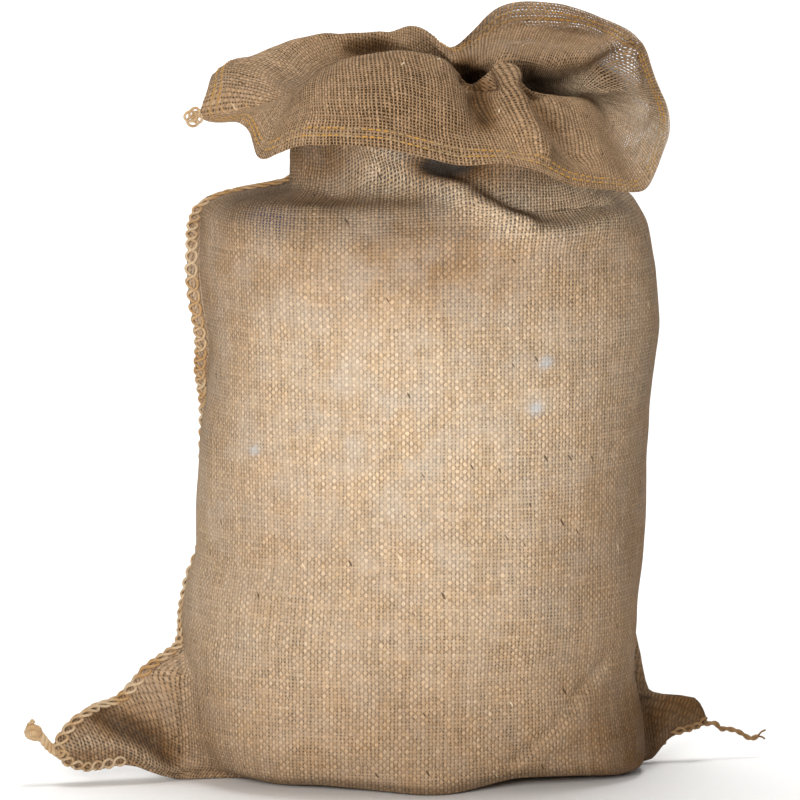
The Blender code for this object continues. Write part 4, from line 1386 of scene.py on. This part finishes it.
def build_left_tail(twine):
    """A short laid cord that ends in a knot and a frayed tip."""
    core, out = tail_points(LEFT_TAIL, ((-0.014, -0.006), (-0.004, -0.003), (0.004, 0.003), (0.009, 0.009),
                                        (0.013, 0.014), (0.0185, 0.0165)))
    knot = core[-1]
    strands = twist(smooth_path(core[:-1], 40), 3, 0.0024, 70)
    turns = np.linspace(0, 2 * np.pi, 60)
    loops = []
    for k, (tilt, size) in enumerate(((0.2, 0.0052), (1.3, 0.0050), (2.2, 0.0048))):
        ring = np.stack([np.cos(turns) * size, np.sin(turns) * size * math.cos(tilt),
                         np.sin(turns) * size * math.sin(tilt) + 0.0008 * np.sin(3 * turns + k)], 1)
        loops.append(knot + ring)
    end = smooth_path([knot + (0.002, 0, 0.002), knot + out * 0.004 + (0, 0, 0.006),
                       knot + out * 0.001 + (0.001, 0, 0.0105)], 14)
    twine_piece("left_tail_cord", strands + loops + twist(end, 2, 0.001, 90), twine, "left_tail_knot",
                "left_tail", [0.0021] * 3 + [0.0031] * 3 + [0.0014] * 2)


def build_right_tail(twine):
    """A long two-strand cord, with two loose threads at its tip."""
    core, out = tail_points(RIGHT_TAIL, (
        (-0.034, -0.012), (-0.020, -0.007), (-0.008, -0.002), (0.002, -0.003), (0.010, -0.003),
        (0.015, -0.008), (0.022, -0.0085), (0.032, -0.0115), (0.043, -0.018), (0.050, -0.0165)))
    core = smooth_path(core, 90)
    tip = core[-1]
    threads = [smooth_path([tip] + [tip + out * d + (0, 0, h) for d, h in steps], 12)
               for steps in (((0.004, 0.004), (0.0075, 0.0055)), ((0.004, -0.0005), (0.007, -0.0025)))]
    twine_piece("right_tail_cord", twist(core, 2, 0.00115, 60) + threads, twine, "right_tail_twine",
                "right_tail", [0.0014, 0.0014, 0.0009, 0.0009])


def build_mouth_loop(twine):
    """The stitching's last loops, standing off the mouth's corner as a small net."""
    centre = np.array(MOUTH_CORNER) + (-0.0066, -0.001, 0.001)
    turns = np.linspace(0, 2 * np.pi, 50)
    paths = []
    for k, (across, up) in enumerate(((0.0, 0.0), (0.0034, 0.0024), (0.0058, -0.0012), (0.0018, -0.0050))):
        a = math.radians(12 + 50 * k)
        size = 0.0054 - 0.0002 * k
        x = np.cos(turns) * size
        y = 0.0012 * np.sin(2 * turns + k) + 0.0008 * (k - 1) + 0.0006 * (k % 3)
        z = np.sin(turns) * size * 0.82
        turned_x = x * math.cos(a) - z * math.sin(a)
        turned_z = x * math.sin(a) + z * math.cos(a)
        paths.append(centre + np.stack([turned_x + across, y, turned_z + up], 1))
    paths.append(smooth_path([centre + (0.002, 0, 0), centre + (0.005, 0.001, 0.0005),
                              centre + (0.0078, 0.001, 0)], 16))
    twine_piece("mouth_loop_twine", paths, twine, "mouth_corner_loop", "mouth_loop", 0.00125)


# ---- assembly ----------------------------------------------------------------------------
def main():
    hessian = make_hessian()
    twine = make_sewing_twine("twine", (0.72, 0.53, 0.33, 1), (0.56, 0.33, 0.14, 1))
    # a darker copy of the twine, for the right ear's lower stitches and the right tail
    darker_twine = make_sewing_twine("darker_twine", (0.36, 0.215, 0.100, 1), (0.24, 0.125, 0.045, 1))
    marker = make_marker_yarn()
    points = build_body(hessian)
    collar_points, from_rim = build_collar(points, hessian)
    build_seams(points, collar_points, twine, darker_twine)
    build_liner(make_liner())
    build_markers(collar_points, from_rim, marker)
    build_left_tail(twine)
    build_right_tail(darker_twine)
    build_mouth_loop(twine)
    make_stage()
    make_light()
    make_camera()


main()
